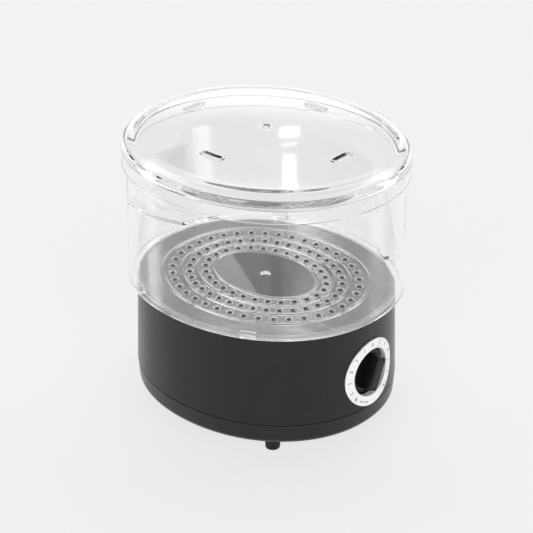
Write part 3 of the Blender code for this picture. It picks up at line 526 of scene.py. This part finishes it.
def base_shell():
    under_plate = PLATE_TOP - PLATE_THICK - GAP
    rim_step = PLATE_RIM_BOTTOM - GAP
    rebate = PLATE_REACH - PLATE_RIM_THICK - GAP
    corners = [
        (LEDGE_REACH, under_plate, 0),
        (rebate, under_plate, 0.2 * MM),
        (rebate, rim_step, 0.2 * MM),
        (PLATE_REACH, rim_step, 0.6 * MM),
        (SHELL_REACH_BOTTOM, SHELL_BOTTOM, 1.0 * MM),
        (SHELL_REACH_BOTTOM - SHELL_WALL, SHELL_BOTTOM, 0.4 * MM),
        (PLATE_REACH - SHELL_WALL, under_plate - SHELL_WALL, 0.4 * MM),
        (LEDGE_REACH, under_plate - SHELL_WALL, 0),
    ]
    look = LOOKS["black_plastic"]
    shell = skin("shell_moulding", oval_rings(softened(corners, True)), look, closed=True, triangles=True)
    cup = along_y(rod("cup", CUP_RADIUS, 0, CUP_LENGTH, look, 96), 0, CUP_BACK, DIAL_HEIGHT)
    wall_middle = PLATE_REACH - SHELL_WALL / 2
    core = [(0, 90 * MM), (wall_middle, 90 * MM), (wall_middle, 20 * MM), (0, 20 * MM)]
    combine(cup, skin("core", oval_rings(core), look, triangles=True), "INTERSECT")
    combine(shell, cup, "UNION")
    front = 32 * MM
    opening = [(0, front), (OPENING_RADIUS, front), (OPENING_RADIUS, MM), (OPENING_RADIUS - MM, 0), (0, 0)]
    recess = skin("recess", circle_rings(opening), look)
    combine(shell, along_y(recess, 0, CUP_BACK - CUP_FLOOR, DIAL_HEIGHT))
    shaft_hole = rod("shaft_hole", SHAFT_HOLE_RADIUS, -8 * MM, 8 * MM, look)
    combine(shell, along_y(shaft_hole, 0, CUP_BACK, DIAL_HEIGHT))
    inlet_height = (GLAND_LOW.z + GLAND_HIGH.z) / 2
    inlet = rod("inlet_hole", INLET_RADIUS, -10 * MM, 10 * MM, look)
    combine(shell, along_y(inlet, 0, shell_reach(inlet_height), inlet_height))
    for x, y in SCREW_PLACES:
        boss = rod("boss", BOSS_RADIUS, SHELL_BOTTOM, BOSS_TOP, look, 32)
        combine(boss, rod("boss_bore", BOSS_BORE, 0, BOSS_TOP - 4 * MM, look, 24))
        combine(shell, moved(boss, Matrix.Translation((x, y, 0))), "UNION")
    stands_for(shell, "base_shell", "base")


def base_bottom():
    """The pan, with its screw pillars, foot holes and vents."""
    look = LOOKS["black_plastic"]
    top_reach = PAN_HIGH.y
    bottom = PAN_LOW.z
    floor_top = bottom + 2.2 * MM
    inner = top_reach - SHELL_WALL
    corners = [
        (0, floor_top, 0),
        (inner - 3 * MM, floor_top, 2.5 * MM),
        (inner, PAN_HIGH.z, 0.4 * MM),
        (top_reach, PAN_HIGH.z, 1.1 * MM),
        (top_reach - 0.9 * MM, bottom + 2.6 * MM, 1.0 * MM),
        (top_reach - 2.6 * MM, bottom, 0.8 * MM),
        (0, bottom, 0),
    ]
    pan = skin("pan_moulding", oval_rings(softened(corners)), look, triangles=True)
    for x, y in SCREW_PLACES:
        pillar = rod("pillar", BOSS_RADIUS, bottom + MM, PAN_HIGH.z, look, 32)
        combine(pan, moved(pillar, Matrix.Translation((x, y, 0))), "UNION")
        combine(pan, moved(rod("bore", BOSS_BORE, 0, 60 * MM, look, 24), Matrix.Translation((x, y, 0))))
    for index in range(4):
        low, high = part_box(f"foot_{index}")
        middle = (low + high) / 2
        foot_hole = rod("foot_hole", FOOT_HOLE_RADIUS, 0, 20 * MM, look, 32)
        combine(pan, moved(foot_hole, Matrix.Translation((middle.x, middle.y, 0))))
    for row in (-1, 0, 1):
        vent = block("vent", PAN_VENT_SIZE, look, 1.2 * MM)
        combine(pan, moved(vent, Matrix.Translation((0, row * PAN_VENT_PITCH, bottom))))
    stands_for(pan, "base_bottom", "base")


def feet():
    for index in range(4):
        low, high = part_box(f"foot_{index}")
        middle = (low + high) / 2
        top = PAN_LOW.z - GAP
        corners = [
            (0, high.z, 0),
            (1.8 * MM, high.z, 0.6 * MM),
            (3.7 * MM, high.z - 3.5 * MM, 0.5 * MM),
            (2.7 * MM, high.z - 3.5 * MM, 0.1 * MM),
            (2.7 * MM, top, 0.2 * MM),
            (6.2 * MM, top, 0.5 * MM),
            (6.1 * MM, top - 2.6 * MM, 0.3 * MM),
            (5.7 * MM, top - 3.0 * MM, 0.2 * MM),
            (5.2 * MM, 0, 0.9 * MM),
            (3.2 * MM, 0, 0.5 * MM),
            (2.4 * MM, 0.7 * MM, 0.4 * MM),
            (0, 0.7 * MM, 0),
        ]
        foot = skin(f"rubber_foot_{index}", circle_rings(softened(corners), 64), LOOKS["rubber"])
        moved(foot, Matrix.Translation((middle.x, middle.y, 0)))
        stands_for(foot, f"foot_{index}", "base")


# The plate's pressing. A row of bumps has its reach, its count and its first bump's share of a step.
RIDGE_REACHES = (43.5 * MM, 54 * MM, 65 * MM, 79 * MM)
RIDGE_HALF = 2.1 * MM
RIDGE_HEIGHT = 0.55 * MM
BUMP_ROWS = ((48.5 * MM, 28, 0.98), (59.5 * MM, 36, 0.80), (72 * MM, 39, 0.15))
BUMP_RADIUS = 3.0 * MM
BUMP_HEIGHT = 1.7 * MM


def bump_centres(reach, count, phase):
    """Places spaced evenly along one oval."""
    fine = np.linspace(0, 2 * math.pi, 3601)
    line = oval(half_width(reach), reach, 0, fine)
    run = np.concatenate([[0], np.cumsum(np.linalg.norm(np.diff(line, axis=0), axis=1))])
    places = (np.arange(count) + phase) / count * run[-1] % run[-1]
    return np.stack([np.interp(places, run, line[:, axis]) for axis in (0, 1)], axis=1)


def pressed_height(points, reach):
    """How far the pressing stands above the flat plate: four rounded ridges and three rows of bumps."""
    height = np.zeros(len(points))
    for ridge in RIDGE_REACHES:
        share = np.clip(abs(reach - ridge) / RIDGE_HALF, 0, 1)
        height += RIDGE_HEIGHT * 0.5 * (1 + math.cos(math.pi * share))
    for row_reach, count, phase in BUMP_ROWS:
        if abs(reach - row_reach) > 2 * BUMP_RADIUS:
            continue
        centres = bump_centres(row_reach, count, phase)
        away = np.linalg.norm(points[:, None, :2] - centres[None], axis=2).min(axis=1)
        height += BUMP_HEIGHT * np.clip(1 - (away / BUMP_RADIUS) ** 2, 0, 1)
    return height


def heating_plate():
    bore = 2.3 * MM
    reaches = [bore, 8 * MM, 16 * MM, 24 * MM, 32 * MM, 38 * MM]
    reaches += list(np.arange(41 * MM, 82 * MM, 0.5 * MM))
    reaches += [84 * MM, 88 * MM, 92 * MM]
    top = []
    for reach in reaches:
        width = half_width(reach) if reach > REACHES[0] else reach
        ring = oval(width, reach, PLATE_TOP, FINE_TURNS)
        ring[:, 2] += pressed_height(ring, reach)
        top.append(ring)
    rim = [
        (PLATE_REACH - 2 * MM, PLATE_TOP, 0),
        (PLATE_REACH, PLATE_TOP, 0.9 * MM),
        (PLATE_REACH, PLATE_RIM_BOTTOM, 0.2 * MM),
        (PLATE_REACH - PLATE_RIM_THICK, PLATE_RIM_BOTTOM, 0.2 * MM),
        (PLATE_REACH - PLATE_RIM_THICK, PLATE_TOP - PLATE_THICK, 0.3 * MM),
        (84 * MM, PLATE_TOP - PLATE_THICK, 0),
    ]
    underside = PLATE_TOP - PLATE_THICK
    under = [oval(half_width(reach), reach, underside, FINE_TURNS) for reach in (60 * MM, 38 * MM)]
    under.append(oval(bore, bore, underside, FINE_TURNS))
    rings = top + oval_rings(softened(rim), FINE_TURNS) + under
    plate = skin("plate_pressing", rings, LOOKS["plate_metal"], closed=True, sharp=65.0)
    stands_for(plate, "heating_plate", "base", flat_faces=False)


def plate_rivet():
    head = PLATE_TOP + GAP / 3
    corners = [
        (0, head + 1.35 * MM, 0),
        (1.0 * MM, head + 1.32 * MM, 0.3 * MM),
        (2.8 * MM, head + 0.95 * MM, 0.8 * MM),
        (4.0 * MM, head, 0.25 * MM),
        (2.0 * MM, head, 0),
        (2.0 * MM, RIVET_LOW.z, 0.3 * MM),
        (0, RIVET_LOW.z, 0),
    ]
    rivet = skin("rivet_head", circle_rings(softened(corners), 64), LOOKS["bright_steel"])
    stands_for(rivet, "plate_rivet", "base")


def dial_points(radius, turns, lift):
    """Points round the dial's axis that lie on the wall's curve, this far outside it."""
    x = radius * np.sin(turns)
    z = DIAL_HEIGHT + radius * np.cos(turns)
    return np.stack([x, wall_front(x, z, lift), z], axis=1)


def dial_ring():
    turns = np.linspace(0, 2 * math.pi, 192, endpoint=False)
    section = [
        (DIAL_RADIUS, GAP, 0.1 * MM),
        (DIAL_RADIUS, RING_LIFT, 0.45 * MM),
        (RING_INNER, RING_LIFT, 0.5 * MM),
        (RING_INNER, -3.4 * MM, 0.1 * MM),
        (RING_INNER + 0.3 * MM, -3.4 * MM, 0.1 * MM),
        (RING_INNER + 0.3 * MM, GAP, 0),
    ]
    rings = [dial_points(radius, turns, lift) for radius, lift in softened(section, True)]
    ring = skin("dial_face", rings, LOOKS["white_plastic"], closed=True)
    stands_for(ring, "dial_ring", "base")


# The dial's scale: clock angles in degrees from the top.
MARK_LIFT = RING_LIFT + 0.05 * MM
FIRST_MARK = 246.0
MARK_STEP = 22.9
SCALE_MARKS = 12
MARK_RADIUS = 22.6 * MM
ARC_STEPS = 10


def printed(name, outlines, look):
    """Flat shapes, drawn in the plane of the dial, laid on its face as a thin coat of paint."""
    work = bmesh.new()
    for outline in outlines:
        faces = []
        for lift in (MARK_LIFT, RING_LIFT - 0.1 * MM):
            heights = [DIAL_HEIGHT + z for _, z in outline]
            corners = [work.verts.new((x, wall_front(x, z, lift), z)) for (x, _), z in zip(outline, heights)]
            faces.append(work.faces.new(corners).verts[:])
        for index in range(len(outline)):
            after = (index + 1) % len(outline)
            work.faces.new((faces[0][index], faces[0][after], faces[1][after], faces[1][index]))
    bmesh.ops.recalc_face_normals(work, faces=work.faces)
    obj = place(new_object(name, work), look)
    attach(obj, "base")


def on_dial(radius, clock):
    """A place on the dial's plane, its angle counted clockwise from the top in degrees."""
    turn = math.radians(clock)
    return radius * math.sin(turn), radius * math.cos(turn)


def tick(clock, inner, outer, width):
    """A straight radial stroke."""
    along = Vector(on_dial(1.0, clock))
    across = Vector(on_dial(1.0, clock + 90)) * width / 2
    return [along * inner - across, along * inner + across, along * outer + across, along * outer - across]


def arc_band(start, end, inner, outer):
    clocks = np.linspace(start, end, ARC_STEPS)
    return [on_dial(outer, c) for c in clocks] + [on_dial(inner, c) for c in clocks[::-1]]


def numeral(text, clock):
    """A number on the dial, its foot towards the knob."""
    curve = bpy.data.curves.new("numeral_" + text, "FONT")
    curve.body = text
    curve.size = 4.4 * MM
    curve.align_x = "CENTER"
    curve.align_y = "CENTER"
    curve.extrude = 0.05 * MM
    curve.resolution_u = 4
    guide = bpy.data.objects.new("numeral_guide", curve)
    bpy.context.scene.collection.objects.link(guide)
    graph = bpy.context.evaluated_depsgraph_get()
    mesh = bpy.data.meshes.new_from_object(guide.evaluated_get(graph))
    bpy.data.objects.remove(guide, do_unlink=True)
    side = Vector(on_dial(1.0, clock + 90))
    out = Vector(on_dial(1.0, clock))
    for vertex in mesh.vertices:
        flat = out * (MARK_RADIUS + vertex.co.y) + side * vertex.co.x
        lift = MARK_LIFT - 0.05 * MM + vertex.co.z
        vertex.co = (flat.x, wall_front(flat.x, DIAL_HEIGHT + flat.y, lift), DIAL_HEIGHT + flat.y)
    obj = bpy.data.objects.new("dial_number_" + text, mesh)
    bpy.context.scene.collection.objects.link(obj)
    tidy(obj)
    place(obj, PRINT_GREY)
    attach(obj, "base")


def dial_print():
    """Twelve steps clockwise, with a number at every third, a red zero mark and a plain bar before it."""
    ticks = []
    for step in range(1, SCALE_MARKS + 1):
        clock = FIRST_MARK + MARK_STEP * (step - 1)
        if step % 3:
            ticks.append(tick(clock, 21.0 * MM, 24.4 * MM, 0.45 * MM))
        else:
            numeral(str(step), clock)
    printed("dial_ticks", ticks, PRINT_GREY)
    printed("dial_bar", [arc_band(193, 216, 22.1 * MM, 23.3 * MM)], PRINT_PALE)
    places = ((21.4, 229), (22.6, 230.6), (24.6, 227.5), (23.4, 225.2))
    red = [on_dial(radius * MM, clock) for radius, clock in places]
    printed("dial_zero_mark", [red], PRINT_RED)


KNOB_TILT = math.radians(25)
KNOB_RADIUS = KNOB_HIGH.x
BAR_WIDTH = 9.6 * MM
BAR_LENGTH = 29.0 * MM
BAR_TAPER = (0.10, 0.14)
NOTCH_SIZE = (1.6 * MM, 3.0 * MM, 1.6 * MM)
NOTCH_PLACE = 11.4 * MM


def knob():
    """A disc with a rounded face and a notched grip bar across it, made with its front towards +Z."""
    look = LOOKS["knob_plastic"]
    height = KNOB_HIGH.y - KNOB_LOW.y
    disc_top = 3.8 * MM
    corners = [
        (0, disc_top, 0),
        (KNOB_RADIUS - 2.6 * MM, disc_top, 0.6 * MM),
        (KNOB_RADIUS - 2.0 * MM, disc_top - 0.25 * MM, 0.3 * MM),
        (KNOB_RADIUS, disc_top - 1.0 * MM, 0.9 * MM),
        (KNOB_RADIUS, 0, 0.3 * MM),
        (0, 0, 0),
    ]
    disc = skin("knob_moulding", circle_rings(softened(corners), 128), look)
    bar = block("bar", (BAR_WIDTH, BAR_LENGTH, 2 * (height - MM)), look, 1.3 * MM, 5)
    for vertex in bar.data.vertices:
        if vertex.co.z > 0:
            vertex.co.x *= 1 - BAR_TAPER[0] * vertex.co.z / height
            vertex.co.y *= 1 - BAR_TAPER[1] * vertex.co.z / height
    lower_half = block("lower_half", (60 * MM, 60 * MM, 60 * MM), look)
    combine(bar, moved(lower_half, Matrix.Translation((0, 0, -29 * MM))))
    for end in (-1, 1):
        notch = block("notch", NOTCH_SIZE, look, 0.4 * MM)
        combine(bar, moved(notch, Matrix.Translation((0, end * NOTCH_PLACE, height - MM))))
    moved(bar, Matrix.Rotation(-KNOB_TILT, 4, "Z"))
    combine(disc, bar, "UNION")
    combine(disc, rod("bore", 3.0 * MM, -5 * MM, 5.5 * MM, look))
    along_y(disc, 0, KNOB_HIGH.y, DIAL_HEIGHT)
    stands_for(disc, "knob", "timer_dial")


COVER_LEDGE_REACH = 95.2 * MM
COVER_LEDGE_THICK = 0.7 * MM
LUG_TURNS = (30, 150, 210, 330)
LUG_SIZE = (12 * MM, 5.5 * MM, 3 * MM)
LUG_INSET = 2.2 * MM


def steam_cover():
    """The clear wall: a rounded rim, a ledge inside its foot and four lugs."""
    look = LOOKS["clear_plastic"]
    foot = COVER_LOW.z
    ledge_top = foot + COVER_LEDGE_THICK
    reach_top = COVER_HIGH.y - COVER_TAPER
    corners = [
        (reach_top - CLEAR_WALL, COVER_HIGH.z, 1.15 * MM),
        (reach_top, COVER_HIGH.z, 1.15 * MM),
        (COVER_HIGH.y, foot, 0.3 * MM),
        (COVER_LEDGE_REACH, foot, 0.2 * MM),
        (COVER_LEDGE_REACH, ledge_top, 0.2 * MM),
        (COVER_HIGH.y - CLEAR_WALL, ledge_top, 0.4 * MM),
    ]
    cover = skin("cover_moulding", oval_rings(softened(corners, True)), look, closed=True, triangles=True)
    for turn in LUG_TURNS:
        reach = COVER_HIGH.y - CLEAR_WALL - LUG_INSET
        spot = oval(half_width(reach), reach, 0, np.array([math.radians(turn)]))[0]
        heading = math.atan2(spot[1] / reach ** 2, spot[0] / half_width(reach) ** 2)
        lug = block("lug", LUG_SIZE, look, 0.6 * MM)
        facing = Matrix.Rotation(heading - math.pi / 2, 4, "Z")
        moved(lug, Matrix.Translation((spot[0], spot[1], ledge_top + 0.8 * MM)) @ facing)
        combine(cover, lug, "UNION")
    stands_for(cover, "steam_cover", "steam_cover")


LID_SHOULDER = 10 * MM
LID_SHOULDER_TOP = 207.2 * MM
TAB_INNER_Y = 37 * MM
TAB_OUTER_Y = 24.5 * MM
TAB_CORNER_X = 113.5 * MM
TAB_THICK = 3 * MM
# Each vent's place and heading in degrees.
VENTS = ((0, 68 * MM, 0), (0, -68 * MM, 0), (56 * MM, 0, 90), (-56 * MM, 0, 90))
VENT_LENGTH = 18 * MM
VENT_WIDTH = 3.8 * MM
COLLAR_LENGTH = 21 * MM
COLLAR_WIDTH = 6.8 * MM
COLLAR_SINK = 1.2 * MM
COLLAR_RISE = 0.9 * MM


def dome(share, shoulder_reach, sink):
    """One level oval of the lid's top, at this share of the way out to its shoulder."""
    rise = (LID_HIGH.z - LID_SHOULDER_TOP) * (1 - share ** 2)
    return oval(half_width(shoulder_reach) * share, shoulder_reach * share, LID_SHOULDER_TOP + rise - sink)


def grip_tab(side, look):
    """A flat tab with a bowed outer edge and rounded edges, whose inner edge lies inside the skirt's wall."""
    skirt = LID_HIGH.y - CLEAR_WALL / 2
    turns = np.linspace(-1, 1, 15) * math.asin(TAB_INNER_Y / skirt)
    inner = oval(half_width(skirt), skirt, 0, turns)[::-1, :2]
    y = np.linspace(-TAB_OUTER_Y, TAB_OUTER_Y, 17)
    bow = (LID_HIGH.x - TAB_CORNER_X) * (1 - (y / TAB_OUTER_Y) ** 2)
    outer = np.stack([TAB_CORNER_X + bow, y], axis=1)
    work = bmesh.new()
    bottom = LID_LOW.z + 0.2 * MM
    corners = [work.verts.new((side * px, py, bottom)) for px, py in np.concatenate([inner, outer])]
    face = work.faces.new(corners)
    raised = bmesh.ops.extrude_face_region(work, geom=[face])["geom"]
    raised_verts = [part for part in raised if isinstance(part, bmesh.types.BMVert)]
    bmesh.ops.translate(work, vec=(0, 0, TAB_THICK), verts=raised_verts)
    bmesh.ops.recalc_face_normals(work, faces=work.faces)
    bmesh.ops.bevel(work, geom=work.edges, offset=0.45 * MM, segments=3, profile=0.5, affect="EDGES")
    return place(new_object("tab", work), look)


def vent_outline(length, width):
    """A slot's outline with round ends, about the origin."""
    points = []
    for end in (1, -1):
        for turn in np.linspace(-math.pi / 2, math.pi / 2, 13):
            reach = length / 2 - width / 2 + width / 2 * math.cos(turn)
            points.append((end * reach, end * width / 2 * math.sin(turn)))
    return np.array(points)


def vent_solid(x, y, heading, length, width, bottom, top, rounding, look):
    """A slot-shaped solid whose top edge is rounded, used for a vent's collar and for its cutter."""
    share = rounding / (width / 2)
    levels = [(0, bottom), (1, bottom), (1, top - rounding), (1 - 0.3 * share, top - 0.3 * rounding),
              (1 - share, top), (0, top)]
    pole = np.zeros_like(vent_outline(length, width))
    rings = []
    for scale, height in levels:
        ring = vent_outline(length - width * (1 - scale), width * scale) if scale else pole
        rings.append(np.column_stack([ring, np.full(len(ring), height)]))
    slot = skin("slot", rings, look)
    return moved(slot, Matrix.Translation((x, y, 0)) @ Matrix.Rotation(math.radians(heading), 4, "Z"))


def lid():
    look = LOOKS["clear_plastic"]
    reach = LID_HIGH.y
    skirt_bottom = LID_LOW.z
    step_height = COVER_HIGH.z + GAP
    shoulder_reach = reach - LID_SHOULDER
    cover_inner = COVER_HIGH.y - COVER_TAPER - CLEAR_WALL
    rib_reach = cover_inner + 1.0 * MM
    gate_radius = 3.0 * MM
    shares = np.concatenate([[0.045], np.linspace(0.07, 0.985, 24)])
    rings = [circle(0, LID_HIGH.z, STEPS), circle(gate_radius - 0.5 * MM, LID_HIGH.z, STEPS)]
    rings.append(circle(gate_radius - 0.2 * MM, LID_HIGH.z - 0.35 * MM, STEPS))
    rings.append(circle(gate_radius, LID_HIGH.z - 0.35 * MM, STEPS))
    rings += [dome(share, shoulder_reach, 0) for share in shares]
    outer = []
    for turn in np.linspace(math.pi / 2, 0, 14):
        outer.append((shoulder_reach + LID_SHOULDER * math.cos(turn),
                      LID_SHOULDER_TOP - LID_SHOULDER + LID_SHOULDER * math.sin(turn)))
    skirt = [
        (reach, LID_SHOULDER_TOP - LID_SHOULDER - 2 * MM, 0),
        (reach, skirt_bottom, 0.6 * MM),
        (reach - CLEAR_WALL, skirt_bottom, 0.4 * MM),
        (reach - CLEAR_WALL, step_height, 0.3 * MM),
        (rib_reach, step_height, 0.4 * MM),
        (rib_reach, step_height + 5 * MM, 1.2 * MM),
        (shoulder_reach - 2 * MM, LID_SHOULDER_TOP - CLEAR_WALL, 0),
    ]
    rings += oval_rings(outer + [tuple(point) for point in softened(skirt)])
    rings += [dome(share, shoulder_reach - 2 * MM, CLEAR_WALL) for share in shares[::-1][1:]]
    rings.append(circle(0, LID_HIGH.z - CLEAR_WALL, STEPS))
    cover = skin("lid_moulding", rings, look, triangles=True)
    for side in (-1, 1):
        combine(cover, grip_tab(side, look), "UNION")
    for x, y, heading in VENTS:
        share = math.hypot(x / half_width(shoulder_reach), y / shoulder_reach)
        surface = LID_SHOULDER_TOP + (LID_HIGH.z - LID_SHOULDER_TOP) * (1 - share ** 2)
        collar_levels = (surface - COLLAR_SINK, surface + COLLAR_RISE)
        collar = vent_solid(x, y, heading, COLLAR_LENGTH, COLLAR_WIDTH, *collar_levels, 0.6 * MM, look)
        combine(cover, collar, "UNION")
        slot_levels = (surface - 9 * MM, surface + 9 * MM)
        combine(cover, vent_solid(x, y, heading, VENT_LENGTH, VENT_WIDTH, *slot_levels, 0.1 * MM, look))
    stands_for(cover, "lid", "lid")


def cable_gland():
    """A rubber bushing with a flange. It is made with its inner end towards +Z, which points to -Y."""
    height = (GLAND_LOW.z + GLAND_HIGH.z) / 2
    bore = 3.2 * MM
    corners = [
        (bore, -2.5 * MM, 0.5 * MM),
        (6.4 * MM, -2.5 * MM, 0.7 * MM),
        (7.6 * MM, -1.6 * MM, 0.5 * MM),
        (7.6 * MM, -0.6 * MM, 0.2 * MM),
        (5.3 * MM, -0.6 * MM, 0.2 * MM),
        (5.3 * MM, 9 * MM, 0.5 * MM),
        (bore, 9 * MM, 0.4 * MM),
    ]
    gland = skin("gland_bushing", circle_rings(softened(corners, True), 64), LOOKS["rubber"], closed=True)
    along_y(gland, 0, shell_reach(height), height)
    stands_for(gland, "cable_gland", "base")


def carried_over():
    """Gives every CAD node that still shows its finished material."""
    for part in frame["record"]["subparts"]:
        node = frame["nodes"][part["node"]]
        if not node.hide_render:
            node.data.materials.clear()
            node.data.materials.append(LOOKS[part["material_slot"]])


# ---------------------------------------------------------------------- studio


def studio_floor():
    size = 12.0
    mesh = bpy.data.meshes.new("studio_floor")
    corners = [(-size, -size, 0), (size, -size, 0), (size, size, 0), (-size, size, 0)]
    mesh.from_pydata(corners, [], [(0, 1, 2, 3)])
    floor = bpy.data.objects.new("studio_floor", mesh)
    bpy.context.scene.collection.objects.link(floor)
    floor.data.materials.append(floor_material())


# The light all round: a swing in degrees (0 far horizon, 90 overhead, 180 near horizon) and its level.
SKY = ((0, 1.4), (12, 1.4), (21, 0.62), (39, 0.59), (46, 2.2), (58, 2.2), (64, 0.30), (70, 0.05), (125, 0.05),
       (142, 1.15), (180, 2.2))
HORIZON_LEVEL = 1.0
HORIZON_TOP = (10.0, 20.0)
# Tall windows and a dark panel: middle and half-width across, lowest and highest rise, and light added.
PANELS = (
    (-62.0, 8.0, 20.0, 52.0, 0.75),
    (25.0, 9.0, 24.0, 28.0, 1.5),
    (25.0, 8.0, 29.4, 30.8, 1.0),
    (25.0, 8.0, 33.2, 54.0, 1.5),
    (-104.0, 26.0, 25.0, 34.0, -0.60),
)
# A dome mirrors the far side with a slant and a change of scale. These put both right for the panels.
MIRROR_RISE = 22.0
MIRROR_SCALE = 11.26
MIRROR_SCALE_CHANGE = 0.182
MIRROR_SLANT = 0.57
PANEL_LEAN = 0.05


def studio_world():
    """Soft light all round: dark overhead, with two tall windows and a dark panel on the far side."""
    world = bpy.data.worlds.new("studio")
    bpy.context.scene.world = world
    world.use_nodes = True
    tree = world.node_tree
    ray = tree.nodes.new("ShaderNodeTexCoord").outputs["Generated"]
    split = tree.nodes.new("ShaderNodeSeparateXYZ")
    tree.links.new(ray, split.inputs[0])
    rise = maths(tree, "MULTIPLY", maths(tree, "ARCSINE", split.outputs[2]), 180 / math.pi)
    far_x, far_y = -math.sin(CAMERA_TURN), math.cos(CAMERA_TURN)
    ahead = maths(tree, "ADD", maths(tree, "MULTIPLY", split.outputs[0], far_x),
                  maths(tree, "MULTIPLY", split.outputs[1], far_y))
    right = maths(tree, "SUBTRACT", maths(tree, "MULTIPLY", split.outputs[0], far_y),
                  maths(tree, "MULTIPLY", split.outputs[1], far_x))
    turn = maths(tree, "MULTIPLY", maths(tree, "ARCTAN2", right, ahead), 180 / math.pi)
    swing = maths(tree, "ARCTAN2", maths(tree, "MAXIMUM", split.outputs[2], 0.0), ahead)
    ramp = tree.nodes.new("ShaderNodeValToRGB")
    for _ in SKY[2:]:
        ramp.color_ramp.elements.new(0.5)
    for element, (place, light) in zip(ramp.color_ramp.elements, SKY):
        element.position = place / 180
        element.color = (light, light, light, 1.0)
    tree.links.new(maths(tree, "DIVIDE", swing, math.pi), ramp.inputs[0])
    low = spread(tree, rise, HORIZON_TOP[0], HORIZON_TOP[1], HORIZON_LEVEL, 0.0, smooth=True)
    level = maths(tree, "MAXIMUM", low, ramp.outputs[0])
    above = maths(tree, "SUBTRACT", rise, MIRROR_RISE)
    scale = maths(tree, "SUBTRACT", MIRROR_SCALE, maths(tree, "MULTIPLY", above, MIRROR_SCALE_CHANGE))
    slant = maths(tree, "MULTIPLY", above, MIRROR_SLANT)
    across = maths(tree, "ADD", maths(tree, "MULTIPLY", turn, scale), slant)
    leaning = maths(tree, "ADD", rise, maths(tree, "MULTIPLY", across, PANEL_LEAN))
    for middle, half, low_rise, high_rise, light in PANELS:
        panel = maths(tree, "MULTIPLY", window(tree, across, middle - half, middle + half, 1.2),
                      window(tree, leaning, low_rise, high_rise, 0.6))
        level = maths(tree, "ADD", level, maths(tree, "MULTIPLY", panel, light))
    background = tree.nodes["Background"]
    tree.links.new(level, background.inputs["Color"])
    background.inputs["Strength"].default_value = 1.0


def studio_camera():
    heading = Vector((
        math.sin(CAMERA_TURN) * math.cos(CAMERA_RISE),
        -math.cos(CAMERA_TURN) * math.cos(CAMERA_RISE),
        math.sin(CAMERA_RISE),
    ))
    axis = Vector((0, 0, CAMERA_AIM_HEIGHT))
    side = Vector((math.cos(CAMERA_TURN), math.sin(CAMERA_TURN), 0))
    data = bpy.data.cameras.new("studio_camera")
    data.sensor_width = CAMERA_SENSOR
    data.lens = CAMERA_LENS
    camera = bpy.data.objects.new("studio_camera", data)
    bpy.context.scene.collection.objects.link(camera)
    camera.location = axis + heading * CAMERA_DISTANCE
    aim = axis + side * CAMERA_AIM_SIDE - camera.location
    camera.rotation_euler = aim.to_track_quat("-Z", "Y").to_euler()
    bpy.context.scene.camera = camera
    bpy.context.scene.view_settings.view_transform = "Standard"


def light_paths():
    """Clear plastic needs long light paths, or its edges turn black."""
    cycles = bpy.context.scene.cycles
    cycles.max_bounces = 28
    cycles.glossy_bounces = 20
    cycles.transmission_bounces = 28
    cycles.transparent_max_bounces = 24


studio_camera()
light_paths()
studio_world()
studio_floor()
base_shell()
base_bottom()
feet()
heating_plate()
plate_rivet()
dial_ring()
dial_print()
knob()
steam_cover()
lid()
cable_gland()
carried_over()
